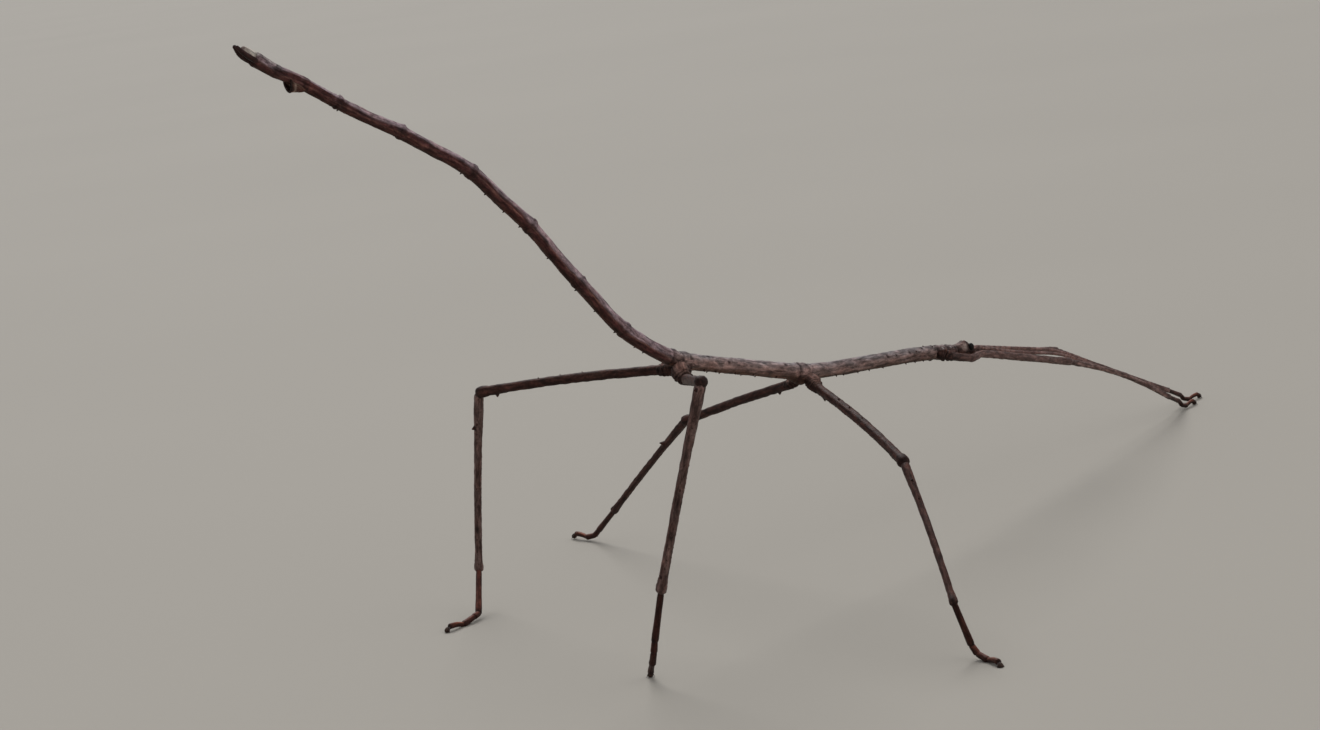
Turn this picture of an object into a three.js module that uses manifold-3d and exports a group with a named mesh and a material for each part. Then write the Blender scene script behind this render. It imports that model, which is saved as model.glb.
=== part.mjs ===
// Stick insect (male, wingless), standing with its abdomen raised and its forelegs stretched ahead.
// Millimetres and degrees. +X is the way the head points, +Y is the insect's left, +Z is up.
import * as THREE from 'three';
import { mergeVertices } from 'three/addons/utils/BufferGeometryUtils.js';
import Module from 'manifold-3d';

const wasm = await Module();
wasm.setup();

// ---- Driving dimensions ----
const cutGap = 0.06; // width of the thin cut between two trunk pieces
const fitGap = 0.05; // clearance where a limb or eye sits against its neighbour
const trunkSides = 10;
const limbSides = 8;
const spineSides = 5;
const hindCoxaPoint = { x: -0.7, z: 25.5 }; // trunk axis over the hind coxae

// Headward run of the trunk axis, from the hind coxae: length and fall of each stretch.
const headwardRun = [
  { length: 17.2, fall: 15 }, // to the mid coxae
  { length: 18.9, fall: 7.5 }, // to the prothorax
  { length: 3.4, fall: 10 }, // to the neck
  { length: 3.1, fall: 11.5 }, // to the brow
];
// Tailward run, from the hind coxae: length and rise of each stretch.
const tailwardRun = [
  { length: 2.2, rise: 23.5 }, // rest of the metathorax
  { length: 6.5, rise: 35 },
  { length: 7.1, rise: 49 },
  { length: 7.7, rise: 51 },
  { length: 8.2, rise: 44 },
  { length: 8.4, rise: 32.5 },
  { length: 7.1, rise: 29.5 },
  { length: 3.8, rise: 32.5 },
  { length: 3.0, rise: 27 },
  { length: 2.2, rise: 36.5 },
  { length: 1.8, rise: 39.5 },
];
const firstAbdomenStation = headwardRun.length + 1;

// Thickness of the trunk at each joint, from the brow to the tail tip.
const trunkGirths = [
  1.0, 1.2, 1.44, 1.52, 1.52, 1.52, 1.42, 1.36, 1.36, 1.28, 1.16, 1.12, 1.14, 1.16, 1.3, 0.56,
];
// How far the axis stands above its smooth run, at every half joint from the mesothorax to the tail.
const liftStart = 2;
const axisLifts = [
  0, 0.04, -0.15, 0.14, 0.15, 0.17, 0.12, 0.12, 0.15, 0.17, 0.1, 0.01, 0.05, -0.12, 0.15, 0.02, 0.13, 0,
  0.1, 0.04, 0.02, 0.12, 0.12, 0.1, 0,
];
// Broad swellings of the underside where the middle and hind coxae stand out.
const coxalSwells = [
  { station: 3.06, drop: 0.58, reach: 1.2, rings: [2.9, 2.97, 3.02, 3.07, 3.16, 3.21] },
  { station: 3.97, drop: 0.2, reach: 1.05, rings: [3.84, 3.97] },
];
const collarRise = 0.13; // how much a segment swells at its tail end
const collarReach = 0.55;
const waistDrop = 0.05; // how much it narrows just behind the joint ahead

// Pieces of the trunk between two stations along the axis; whole stations are joints.
const mesothoraxEnd = 3.12;
const trunkPieces = [
  { name: 'prothorax', from: 1, to: 2, rings: 4 },
  { name: 'mesothorax', from: 2, to: mesothoraxEnd, rings: 6 },
  { name: 'metathorax', from: mesothoraxEnd, to: firstAbdomenStation, rings: 8 },
];
for (let number = 2; number <= 10; number += 1) {
  const from = firstAbdomenStation + number - 2;
  trunkPieces.push({ name: `abdomen_${number}`, from, to: from + 1, rings: 7 });
}

const head = { rings: 10, sides: 12, width: 1.62, height: 1.55, crown: 0.42, crownPlace: 0.5 };
const eye = { radius: 0.43, bulge: 0.86, ahead: 0.66, aside: 0.62, above: 0.36 };
const antenna = {
  base: 0.6,
  tip: 0.5,
  apart: 0.3, // half the space between the two
  steps: 14,
  taperSteps: 5,
  waypoints: [[50, 2.0, 15.42], [60, 3.5, 12.85], [67, 4.55, 10.15]],
};
const poculum = {
  depth: 0.86, frontDepth: 0.22, width: 1.05, lipSlant: 0.85, length: 2.3, wall: 0.16, rings: 5, sides: 10,
};
const cercus = { thickness: 0.5, tip: 0.34, spread: 0.34, steps: 6 };

// One entry per leg: hip is the middle of the trochanter, and end is the thickness there. Each stretch
// has its length, its heading (0 is ahead, 90 is to the left), its rise above the horizontal and how
// far its middle bows; arch lifts a fore femur by its height between two places along it.
const legs = {
  hind_left: {
    root: [-1.3, 0.35, 25.1],
    coxa: { middle: [-1.5, 1.2, 25.08], girth: 1.5, end: 1.12 },
    hip: [-1.66, 1.9, 24.97],
    femur: { length: 22.0, heading: 99, rise: -5.5, bow: [0.05, 0, 0.24] },
    tibia: { length: 20.6, heading: 68, rise: -68, bow: [-0.07, 0.08, 0.02] },
    tarsus: [[5.5, -139.5, -36], [1.0, -161, -2], [1.6, -176, -11], [1.8, 179, 9], [0.8, 180, -37]],
  },
  hind_right: {
    root: [-1.3, -0.35, 25.1],
    coxa: { middle: [-2.09, -0.8, 24.96], girth: 1.85, end: 1.25 },
    hip: [-2.42, -1.61, 24.36],
    femur: { length: 22.6, heading: -132.5, rise: 9.5, bow: [0, 0, 0] },
    tibia: { length: 21.6, heading: 81.5, rise: -63.5, bow: [-0.04, 0.04, 0.02] },
    tarsus: [[5.3, 76, -65.5], [1.0, 109, -77], [1.6, 63, -54], [1.9, 55, -38], [0.8, 56, -39]],
  },
  mid_left: {
    root: [15.6, 0.35, 20.8],
    coxa: { middle: [15.1, 1.05, 20.2], girth: 1.3, end: 1.0 },
    hip: [14.92, 1.7, 19.78],
    femur: { length: 18.1, heading: 81, rise: -16, bow: [0.02, 0, 0.13] },
    tibia: { length: 18.5, heading: 80.5, rise: -36.5, bow: [-0.03, 0.05, 0.06] },
    tarsus: [[4.3, 79, -36], [0.9, 87, -39], [1.3, 88, -14], [1.8, 87, 7], [0.8, 87, -39]],
  },
  mid_right: {
    root: [15.5, -0.35, 20.6],
    coxa: { middle: [15.25, -1.05, 20.0], girth: 1.45, end: 1.06 },
    hip: [15.04, -1.71, 19.53],
    femur: { length: 17.8, heading: -114.5, rise: -15.5, bow: [0.18, -0.13, 0.2] },
    tibia: { length: 17.6, heading: -129, rise: -32.5, bow: [0.09, -0.09, 0.02] },
    tarsus: [[4.3, -9, -71], [0.9, -91, -52], [1.4, -101, -16], [1.8, -112, 6], [0.8, -123, -36]],
  },
  fore_left: {
    root: [35.0, 0.3, 18.45],
    coxa: { middle: [35.44, 0.85, 18.2], girth: 1.2, end: 0.94 },
    hip: [35.8, 1.3, 18.0],
    femur: { length: 26.4, heading: 8, rise: -11.5, bow: [0, 0, 0] },
    arch: { height: 0.1, from: 0.14, to: 0.25 },
    tibia: { length: 26.5, heading: 7, rise: -22.5, bow: [0, 0, 0] },
    tarsus: [[4.0, 14, -21], [0.8, 5, -44], [1.1, -2, -16], [1.7, -4, 7], [0.6, -7, -47]],
  },
  fore_right: {
    root: [35.0, -0.3, 18.45],
    coxa: { middle: [35.44, -0.85, 18.2], girth: 1.2, end: 0.94 },
    hip: [35.8, -1.3, 18.0],
    femur: { length: 25.0, heading: 8, rise: -14, bow: [0, 0, 0] },
    arch: { height: 0.44, from: 0.14, to: 0.25 },
    tibia: { length: 25.0, heading: 9, rise: -22, bow: [0.12, 0, 0.6] },
    tarsus: [[4.0, 19, -20], [0.8, 8, -46], [1.1, 6, -17], [1.7, 6, 6], [0.6, 2, -47]],
  },
};

// Thickness of each pair's stretches.
const legSizes = {
  hind: {
    femur: 0.92, knee: 1.16, tibiaTop: 1.0, tibia: 0.76, tibiaEnd: 0.98, foot: 0.64, swing: 0,
  },
  mid: {
    femur: 0.92, knee: 1.18, tibiaTop: 0.86, tibia: 0.66, tibiaEnd: 0.84, foot: 0.62, swing: 0,
  },
  fore: {
    femur: 0.82, knee: 0.9, tibiaTop: 0.66, tibia: 0.54, tibiaEnd: 0.62, foot: 0.52, swing: 0.42,
  },
};

// Spines: place along the stretch (0 to 1), turn about it (0 is the top, positive to the right) and height.
const slimSpine = 0.13; // radius at the foot of a spine
const stoutSpine = 0.24;
const stoutFrom = 0.22; // spines this high stand on a stout foot
const collarTooth = { turn: 0, height: 0.16 };
const trunkSpines = [
  ...[0.1, 0.26, 0.42, 0.55, 0.7, 0.8].map((place) => ({ station: 3 + place, turn: 150, height: 0.18 })),
  ...[0.16, 0.37, 0.47, 0.63, 0.73].map((place) => ({ station: 3 + place, turn: -158, height: 0.16 })),
  ...[0.14, 0.22, 0.3, 0.48, 0.58, 0.66, 0.76, 0.81].map((place) => (
    { station: 2 + place, turn: 152, height: 0.17 }
  )),
  ...[0.18, 0.39, 0.53, 0.7, 0.84].map((place) => ({ station: 2 + place, turn: -155, height: 0.16 })),
  ...[5.48, 5.65, 6.06, 6.5, 6.92, 7.5, 8.06, 8.34, 8.66, 9.06, 10.9].map((station) => (
    { station, turn: -155, height: 0.14 }
  )),
  { station: 2.39, turn: 62, height: 0.17 },
  { station: 2.22, turn: 58, height: 0.18 },
  { station: 2.11, turn: 4, height: 0.17 },
  { station: 2.03, turn: 30, height: 0.18 },
];
const legSpines = {
  hind_left: [
    { part: 'femur', place: 0.9, turn: 180, height: 0.27 },
    { part: 'femur', place: 0.42, turn: 0, height: 0.14 },
    { part: 'femur', place: 0.54, turn: 0, height: 0.14 },
    { part: 'tibia', place: 0.19, turn: 90, height: 0.25 },
  ],
  hind_right: [
    { part: 'femur', place: 0.9, turn: 180, height: 0.27 },
    { part: 'femur', place: 0.5, turn: 0, height: 0.14 },
    { part: 'tibia', place: 0.92, turn: 90, height: 0.2 },
  ],
  mid_left: [
    { part: 'femur', place: 0.1, turn: 180, height: 0.3 },
    { part: 'tibia', place: 0.25, turn: 60, height: 0.46 },
  ],
  mid_right: [
    { part: 'femur', place: 0.08, turn: 180, height: 0.37 },
    { part: 'femur', place: 0.24, turn: 0, height: 0.17 },
    { part: 'femur', place: 0.36, turn: 0, height: 0.18 },
    { part: 'femur', place: 0.5, turn: 0, height: 0.15 },
    { part: 'femur', place: 0.86, turn: 180, height: 0.3 },
    { part: 'tibia', place: 0.15, turn: 0, height: 0.19 },
    { part: 'tibia', place: 0.28, turn: 0, height: 0.18 },
  ],
  fore_left: [],
  fore_right: [],
};

// ---- Vectors and frames ----
const up = new THREE.Vector3(0, 0, 1);
const left = new THREE.Vector3(0, 1, 0);
const radians = THREE.MathUtils.degToRad;

function direction(heading, rise) {
  const flat = Math.cos(radians(rise));
  return new THREE.Vector3(
    flat * Math.cos(radians(heading)),
    flat * Math.sin(radians(heading)),
    Math.sin(radians(rise)),
  );
}

function frameAlong(tangent) {
  const side = new THREE.Vector3().crossVectors(up, tangent).normalize();
  const top = new THREE.Vector3().crossVectors(tangent, side).normalize();
  return { side, top };
}

// A ring of points around a centre; turn 0 is its top.
function ring(centre, frame, halfWidth, halfHeight, sides) {
  const points = [];
  for (let index = 0; index < sides; index += 1) {
    const angle = (2 * Math.PI * index) / sides;
    points.push(
      centre.clone()
        .addScaledVector(frame.side, Math.sin(angle) * halfWidth)
        .addScaledVector(frame.top, Math.cos(angle) * halfHeight),
    );
  }
  return points;
}

// ---- Solids ----
function signedVolume(points, faces) {
  let total = 0;
  for (const [a, b, c] of faces) {
    total += points[a].dot(new THREE.Vector3().crossVectors(points[b], points[c]));
  }
  return total;
}

function solidFrom(points, faces) {
  const outward = signedVolume(points, faces) > 0;
  const mesh = new wasm.Mesh({
    numProp: 3,
    vertProperties: new Float32Array(points.flatMap((point) => point.toArray())),
    triVerts: new Uint32Array(faces.flatMap(([a, b, c]) => (outward ? [a, b, c] : [a, c, b]))),
  });
  return new wasm.Manifold(mesh);
}

// Skins a run of rings into one closed body with flat ends.
function loft(rings) {
  const sides = rings[0].length;
  const points = rings.flat();
  const faces = [];
  for (let row = 0; row + 1 < rings.length; row += 1) {
    for (let index = 0; index < sides; index += 1) {
      const a = row * sides + index;
      const b = row * sides + ((index + 1) % sides);
      faces.push([a, b, b + sides], [a, b + sides, a + sides]);
    }
  }
  for (const row of [0, rings.length - 1]) {
    const centre = points.length;
    points.push(rings[row].reduce((sum, point) => sum.add(point), new THREE.Vector3()).divideScalar(sides));
    for (let index = 0; index < sides; index += 1) {
      const a = row * sides + index;
      const b = row * sides + ((index + 1) % sides);
      faces.push(row === 0 ? [centre, b, a] : [centre, a, b]);
    }
  }
  return solidFrom(points, faces);
}

function solidOf(geometry) {
  geometry.deleteAttribute('normal');
  geometry.deleteAttribute('uv');
  const merged = mergeVertices(geometry);
  const points = [];
  for (let index = 0; index < merged.attributes.position.count; index += 1) {
    points.push(new THREE.Vector3().fromBufferAttribute(merged.attributes.position, index));
  }
  const faces = [];
  for (let index = 0; index < merged.index.count; index += 3) {
    faces.push([merged.index.getX(index), merged.index.getX(index + 1), merged.index.getX(index + 2)]);
  }
  return solidFrom(points, faces);
}

// Cuts the blockers away and keeps the largest piece left.
function carve(solid, blockers) {
  let left = solid;
  for (const blocker of blockers) {
    left = left.subtract(blocker);
  }
  return left.decompose().reduce((best, piece) => (piece.volume() > best.volume() ? piece : best));
}

function spine(foot, outward, height) {
  const sunk = 0.12;
  const cone = new THREE.ConeGeometry(height > stoutFrom ? stoutSpine : slimSpine, height + sunk, spineSides);
  const turn = new THREE.Quaternion().setFromUnitVectors(new THREE.Vector3(0, 1, 0), outward);
  const middle = foot.clone().addScaledVector(outward, (height - sunk) / 2);
  cone.applyMatrix4(new THREE.Matrix4().compose(middle, turn, new THREE.Vector3(1, 1, 1)));
  return solidOf(cone);
}

// Everything stands on the floor, so each foot ends in a small flat at floor level.
function trimAtFloor(solid) {
  const slab = new THREE.BoxGeometry(400, 400, 20);
  slab.translate(0, 0, -10);
  return solid.subtract(solidOf(slab));
}

// ---- Trunk ----
function trunkJoints() {
  const start = new THREE.Vector3(hindCoxaPoint.x, 0, hindCoxaPoint.z);
  const ahead = [];
  let point = start;
  for (const { length, fall } of headwardRun) {
    point = point.clone().addScaledVector(direction(0, -fall), length);
    ahead.unshift(point);
  }
  const behind = [];
  point = start;
  for (const { length, rise } of tailwardRun) {
    point = point.clone().addScaledVector(direction(180, rise), length);
    behind.push(point);
  }
  return [...ahead, start, ...behind];
}

const joints = trunkJoints();
const lastStation = joints.length - 1;
const trunkAxis = new THREE.CatmullRomCurve3(joints, false, 'centripetal');

function axisLift(station) {
  const halves = THREE.MathUtils.clamp((station - liftStart) * 2, 0, axisLifts.length - 1);
  const below = Math.min(Math.floor(halves), axisLifts.length - 2);
  return THREE.MathUtils.lerp(axisLifts[below], axisLifts[below + 1], halves - below);
}

function trunkFrame(station) {
  const tangent = trunkAxis.getTangent(station / lastStation);
  const frame = frameAlong(tangent);
  const centre = trunkAxis.getPoint(station / lastStation).addScaledVector(frame.top, axisLift(station));
  return { centre, tangent, ...frame };
}

function trunkHalf(station) {
  const joint = Math.min(Math.floor(station), lastStation - 1);
  const place = station - joint;
  let girth = THREE.MathUtils.lerp(trunkGirths[joint], trunkGirths[joint + 1], place);
  if (station > firstAbdomenStation) {
    const length = tailwardRun[joint - headwardRun.length].length;
    const toCollar = ((1 - place) * length) / collarReach;
    girth += collarRise * Math.exp(-toCollar * toCollar) - waistDrop * Math.sin(Math.PI * place);
  }
  return girth / 2;
}

function bellyDrop({ centre }) {
  return coxalSwells.reduce((sum, { station, drop, reach }) => {
    const away = centre.distanceTo(trunkFrame(station).centre) / reach;
    return sum + drop * Math.exp(-away * away);
  }, 0);
}

function trunkSolid(from, to, rings, grow = 0) {
  const stations = coxalSwells.flatMap((swell) => swell.rings).filter((place) => place > from && place < to);
  for (let index = 0; index < rings; index += 1) {
    // rings crowd towards the tail end, where the collar is
    stations.push(THREE.MathUtils.lerp(from, to, 1 - (1 - index / (rings - 1)) ** 1.6));
  }
  stations.sort((first, second) => first - second);
  const sections = stations.map((station, index) => {
    const frame = trunkFrame(station);
    const half = trunkHalf(Math.min(station, to - 1e-4)) + grow;
    const centre = frame.centre.clone();
    if (index === 0) {
      centre.addScaledVector(frame.tangent, cutGap / 2 - grow);
    }
    if (index === stations.length - 1) {
      centre.addScaledVector(frame.tangent, grow - cutGap / 2);
    }
    const points = ring(centre, frame, half, half, trunkSides);
    points.forEach((point, corner) => {
      const lowness = Math.max(0, -Math.cos((2 * Math.PI * corner) / trunkSides));
      point.addScaledVector(frame.top, -bellyDrop(frame) * lowness);
    });
    return points;
  });
  return loft(sections);
}

function trunkSpine({ station, turn, height }) {
  const frame = trunkFrame(station);
  // side points to the insect's right, because the axis runs tailward
  const outward = frame.top.clone().multiplyScalar(Math.cos(radians(turn)))
    .addScaledVector(frame.side, Math.sin(radians(turn)));
  const foot = frame.centre.clone().addScaledVector(outward, trunkHalf(station));
  return spine(foot, outward, height);
}

// ---- Limbs ----
// Reads the thickness at a place from a profile of [place, thickness] pairs.
function thicknessAt(pairs, place) {
  let index = 0;
  while (index + 2 < pairs.length && pairs[index + 1][0] < place) {
    index += 1;
  }
  const [fromPlace, fromSize] = pairs[index];
  const [toPlace, toSize] = pairs[index + 1];
  return THREE.MathUtils.mapLinear(place, fromPlace, toPlace, fromSize, toSize);
}

// A tube between two points with a ring at each place of its profile, bowed sideways where asked.
function limb(start, end, pairs, { bowAt, grow }) {
  const tangent = end.clone().sub(start).normalize();
  const frame = frameAlong(tangent);
  const length = start.distanceTo(end);
  const sections = pairs.map(([place, thickness]) => {
    const along = THREE.MathUtils.lerp(-grow, length + grow, place);
    const centre = start.clone().addScaledVector(tangent, along).add(bowAt(place));
    const half = thickness / 2 + grow;
    return ring(centre, frame, half, half, limbSides);
  });
  return loft(sections);
}

function pathTube(points, thicknesses, sides = limbSides) {
  const sections = points.map((point, index) => {
    const before = points[Math.max(index - 1, 0)];
    const after = points[Math.min(index + 1, points.length - 1)];
    const frame = frameAlong(after.clone().sub(before).normalize());
    return ring(point, frame, thicknesses[index] / 2, thicknesses[index] / 2, sides);
  });
  return loft(sections);
}

function legPoints(leg) {
  const hip = new THREE.Vector3(...leg.hip);
  const knee = hip.clone().addScaledVector(direction(leg.femur.heading, leg.femur.rise), leg.femur.length);
  const ankle = knee.clone().addScaledVector(direction(leg.tibia.heading, leg.tibia.rise), leg.tibia.length);
  const foot = [ankle];
  for (const [length, heading, rise] of leg.tarsus) {
    foot.push(foot.at(-1).clone().addScaledVector(direction(heading, rise), length));
  }
  return { root: new THREE.Vector3(...leg.root), hip, knee, ankle, foot };
}

function bowed({ bow }, place) {
  return new THREE.Vector3(...bow).multiplyScalar(Math.sin(Math.PI * THREE.MathUtils.clamp(place, 0, 1)));
}

function legSpineSolid(start, end, { place, turn, height }, { thickness, bow }) {
  const tangent = end.clone().sub(start).normalize();
  const frame = frameAlong(tangent);
  const outward = frame.top.clone().multiplyScalar(Math.cos(radians(turn)))
    .addScaledVector(frame.side, Math.sin(radians(turn)));
  const foot = start.clone().lerp(end, place).add(bow).addScaledVector(outward, thickness / 2);
  return spine(foot, outward, height);
}

function claws(from, to, spread) {
  const tangent = to.clone().sub(from).normalize();
  const frame = frameAlong(tangent);
  const pair = [-1, 1].map((side) => {
    const middle = from.clone().lerp(to, 0.55).addScaledVector(frame.side, side * spread * 0.8);
    const tip = to.clone().addScaledVector(frame.side, side * spread);
    return pathTube([from, middle, tip], [0.26, 0.22, 0.1], 4);
  });
  return pair[0].add(pair[1]);
}

function buildLeg(name, leg, blockers) {
  const pair = name.split('_')[0];
  const outwardSign = name.endsWith('left') ? 1 : -1;
  const size = legSizes[pair];
  const points = legPoints(leg);
  const { root, hip, knee, ankle, foot } = points;
  const femurWay = knee.clone().sub(hip).normalize();
  const tibiaWay = ankle.clone().sub(knee).normalize();

  const coxaEnd = hip.clone().addScaledVector(femurWay, 0.5);
  const coxaBody = (grow) => {
    const { middle, girth, end } = leg.coxa;
    const path = [root, new THREE.Vector3(...middle), hip, coxaEnd.clone().addScaledVector(femurWay, grow)];
    const girths = [girth * 0.8, girth, end, end * 0.9];
    return pathTube(path, girths.map((across) => across + 2 * grow), 9);
  };

  // the fore femora also swing out round the head near their base, and rise in front of it
  const { height, from, to } = leg.arch ?? { height: 0, from: 0, to: 0.5 };
  const femurBow = (place) => {
    const swing = size.swing * Math.exp(-(((place - 0.13) / 0.1) ** 2));
    const settled = Math.min(1, (1 - place) / (1 - to));
    const rise = height * THREE.MathUtils.smoothstep(place, from, to) * settled;
    return bowed(leg.femur, place).add(new THREE.Vector3(0, outwardSign * swing, rise - 0.25 * swing));
  };
  const tibiaBow = (place) => bowed(leg.tibia, place);
  const swingPlaces = size.swing > 0 ? [0.1, 0.15, 0.2, 0.25, 0.29] : [];
  const femurProfile = [
    [0, size.femur * 1.06],
    [0.06, size.femur * 1.02],
    ...swingPlaces.map((place) => [place, size.femur * 0.95]),
    [0.34, size.femur],
    [0.58, size.femur * 0.98],
    [0.84, size.femur * 0.95],
    [0.94, size.knee],
    [1, size.knee * 0.9],
  ];
  const femurEnd = knee.clone().addScaledVector(femurWay, 0.25);
  const femurBody = (grow) => limb(hip, femurEnd, femurProfile, { bowAt: femurBow, grow });

  const tibiaProfile = [
    [0, size.tibiaTop * 0.9],
    [0.06, size.tibiaTop],
    [0.3, size.tibia * 1.04],
    [0.6, size.tibia],
    [0.93, size.tibia],
    [0.97, size.tibiaEnd],
    [1, size.tibiaEnd],
  ];
  const tibiaBody = (grow) => limb(knee, ankle, tibiaProfile, { bowAt: tibiaBow, grow });

  const heel = ankle.clone().addScaledVector(tibiaWay, -0.2);
  const tarsusPath = [heel, heel.clone().lerp(foot[1], 0.9), foot[1], foot[2], foot[3], foot[4]];
  const tarsusSizes = [0.88, 1.04, 1.02, 0.95, 1.0, 0.92].map((share) => size.foot * share);
  const pad = new THREE.SphereGeometry(0.3, 6, 4);
  pad.translate(...foot[4].clone().lerp(foot[5], 0.55).toArray());

  let femur = carve(femurBody(0), [coxaBody(fitGap)]);
  let tibia = carve(tibiaBody(0), [femurBody(fitGap)]);
  for (const { part, ...place } of legSpines[name]) {
    if (part === 'femur') {
      const seat = { thickness: thicknessAt(femurProfile, place.place), bow: femurBow(place.place) };
      femur = femur.add(legSpineSolid(hip, knee, place, seat));
    } else {
      const seat = { thickness: thicknessAt(tibiaProfile, place.place), bow: tibiaBow(place.place) };
      tibia = tibia.add(legSpineSolid(knee, ankle, place, seat));
    }
  }
  const tarsusWhole = pathTube(tarsusPath, tarsusSizes).add(solidOf(pad)).add(claws(foot[4], foot[5], 0.3));
  const tarsus = trimAtFloor(carve(tarsusWhole, [tibiaBody(fitGap)]));
  return {
    coxa: carve(coxaBody(0), blockers),
    femur,
    tibia,
    tarsus,
  };
}

// ---- Head ----
const browTangent = trunkFrame(0).tangent;
const headLength = headwardRun.at(-1).length;

function headPoint(ahead, aside, above) {
  const frame = frameAlong(browTangent);
  return trunkFrame(1).centre.clone()
    .addScaledVector(browTangent, -ahead * headLength)
    .addScaledVector(frame.side, aside)
    .addScaledVector(frame.top, above);
}

function headSolid(grow = 0) {
  const frame = frameAlong(browTangent);
  const sections = [];
  for (let index = 0; index < head.rings; index += 1) {
    const place = index / (head.rings - 1);
    const round = Math.sqrt(Math.max(0, 1 - ((place - 0.42) / 0.66) ** 2));
    const halfWidth = (head.width / 2) * (0.3 + 0.7 * round) + grow;
    const halfHeight = (head.height / 2) * (0.28 + 0.72 * round) + grow;
    const crown = head.crown * Math.exp(-(((place - head.crownPlace) / 0.16) ** 2));
    const start = cutGap / 2 / headLength;
    const centre = headPoint(THREE.MathUtils.lerp(start, 1, place), 0, 0);
    const points = ring(centre, frame, halfWidth, halfHeight, head.sides);
    points.forEach((point, corner) => {
      const topness = Math.max(0, Math.cos((2 * Math.PI * corner) / head.sides)) ** 2;
      point.addScaledVector(frame.top, crown * topness);
    });
    sections.push(points);
  }
  return loft(sections);
}

function eyeSolid(side, grow = 0) {
  const ball = new THREE.SphereGeometry(eye.radius + grow, 10, 7);
  ball.scale(1, eye.bulge, 1);
  ball.translate(...headPoint(eye.ahead, side * eye.aside, eye.above).toArray());
  return solidOf(ball);
}

// The feelers run ahead between the forelegs, the left one a little above the right.
function antennaSolid(side, blockers) {
  const lift = side < 0 ? 0.2 : -0.2;
  const shift = new THREE.Vector3(0, -side * antenna.apart, lift);
  const along = antenna.waypoints.map((point) => new THREE.Vector3(...point).add(shift));
  const base = headPoint(0.86, side * 0.34, 0.22);
  const scape = headPoint(1.2, side * 0.36, 0.3);
  const curve = new THREE.CatmullRomCurve3([base, scape, ...along], false, 'centripetal');
  const points = curve.getSpacedPoints(antenna.steps);
  const thicknesses = points.map((point, index) => (
    THREE.MathUtils.lerp(antenna.base, antenna.tip, Math.min(1, index / antenna.taperSteps))
  ));
  return carve(pathTube(points, thicknesses, 6), blockers);
}

// ---- Tail end ----
const segmentNine = firstAbdomenStation + 7;
const segmentTen = firstAbdomenStation + 8;

function tailPoint(station, along, aside, below) {
  const frame = trunkFrame(station);
  return frame.centre.clone()
    .addScaledVector(frame.tangent, along)
    .addScaledVector(frame.side, aside)
    .addScaledVector(frame.top, -below);
}

// The cup under the ninth segment, open towards the tail, with a slanting lip.
function poculumSolid(blockers) {
  const cup = (inset) => {
    const frame = trunkFrame(segmentNine + 0.3);
    const sections = [];
    for (let index = 0; index < poculum.rings; index += 1) {
      const place = index / (poculum.rings - 1);
      const depth = THREE.MathUtils.lerp(poculum.frontDepth, poculum.depth, place) - inset;
      const halfWidth = (poculum.width / 2) * (0.72 + 0.28 * place) - inset;
      const centre = tailPoint(segmentNine, -0.45 + poculum.length * place + inset, 0, 0.38);
      const points = ring(centre, frame, halfWidth, depth, poculum.sides);
      points.forEach((point, corner) => {
        const topness = (1 + Math.cos((2 * Math.PI * corner) / poculum.sides)) / 2;
        point.addScaledVector(frame.tangent, -poculum.lipSlant * place * (1 - topness));
      });
      sections.push(points);
    }
    return loft(sections);
  };
  return carve(cup(0), [...blockers, cup(poculum.wall)]);
}

function cercusSolid(side, blockers) {
  const path = [
    tailPoint(segmentTen, 1.5, side * 0.2, 0.12),
    tailPoint(segmentTen + 1, 0.1, side * (cercus.spread + 0.08), 0.2),
    tailPoint(segmentTen + 1, 1.0, side * cercus.spread, 0.22),
    tailPoint(segmentTen + 1, side > 0 ? 2.1 : 1.95, side * 0.28, side > 0 ? 0.1 : -0.1),
  ];
  const curve = new THREE.CatmullRomCurve3(path, false, 'centripetal');
  const points = curve.getSpacedPoints(cercus.steps);
  const thicknesses = points.map((point, index) => (
    THREE.MathUtils.lerp(cercus.thickness, cercus.tip, (index / cercus.steps) ** 2)
  ));
  return carve(pathTube(points, thicknesses), blockers);
}

function supraAnalPlate(blockers) {
  const path = [0, 0.5, 1.0, 1.35].map((along) => tailPoint(segmentTen + 1, along + cutGap, 0, -0.17));
  return carve(pathTube(path, [0.78, 0.74, 0.62, 0.36], 10), blockers);
}

// ---- Assembly ----
const insect = new THREE.Group();

function addPiece(name, solid, colour, roughness = 0.6) {
  const mesh = solid.getMesh();
  const geometry = new THREE.BufferGeometry();
  geometry.setAttribute('position', new THREE.BufferAttribute(new Float32Array(mesh.vertProperties), 3));
  geometry.setIndex(new THREE.BufferAttribute(new Uint32Array(mesh.triVerts), 1));
  const finish = new THREE.MeshStandardMaterial({ color: colour, roughness, metalness: 0 });
  const piece = new THREE.Mesh(geometry, finish);
  piece.name = name;
  insect.add(piece);
}

const bark = 0x6b574f;
const darkBark = 0x47322c;
const footDark = 0x2a1c18;

const eyeSockets = [1, -1].map((side) => eyeSolid(side, fitGap));
const headBody = carve(headSolid(), eyeSockets);
addPiece('head', headBody, bark);
addPiece('eye_left', eyeSolid(-1), 0x14100f, 0.25);
addPiece('eye_right', eyeSolid(1), 0x14100f, 0.25);

for (const { name, from, to, rings } of trunkPieces) {
  let solid = trunkSolid(from, to, rings);
  for (const place of trunkSpines.filter(({ station }) => station > from && station < to)) {
    solid = solid.add(trunkSpine(place));
  }
  if (name.startsWith('abdomen')) {
    const toothStation = to - 0.35 / tailwardRun[from - headwardRun.length].length;
    solid = solid.add(trunkSpine({ station: toothStation, ...collarTooth }));
  }
  addPiece(name, solid, bark);
}

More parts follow.
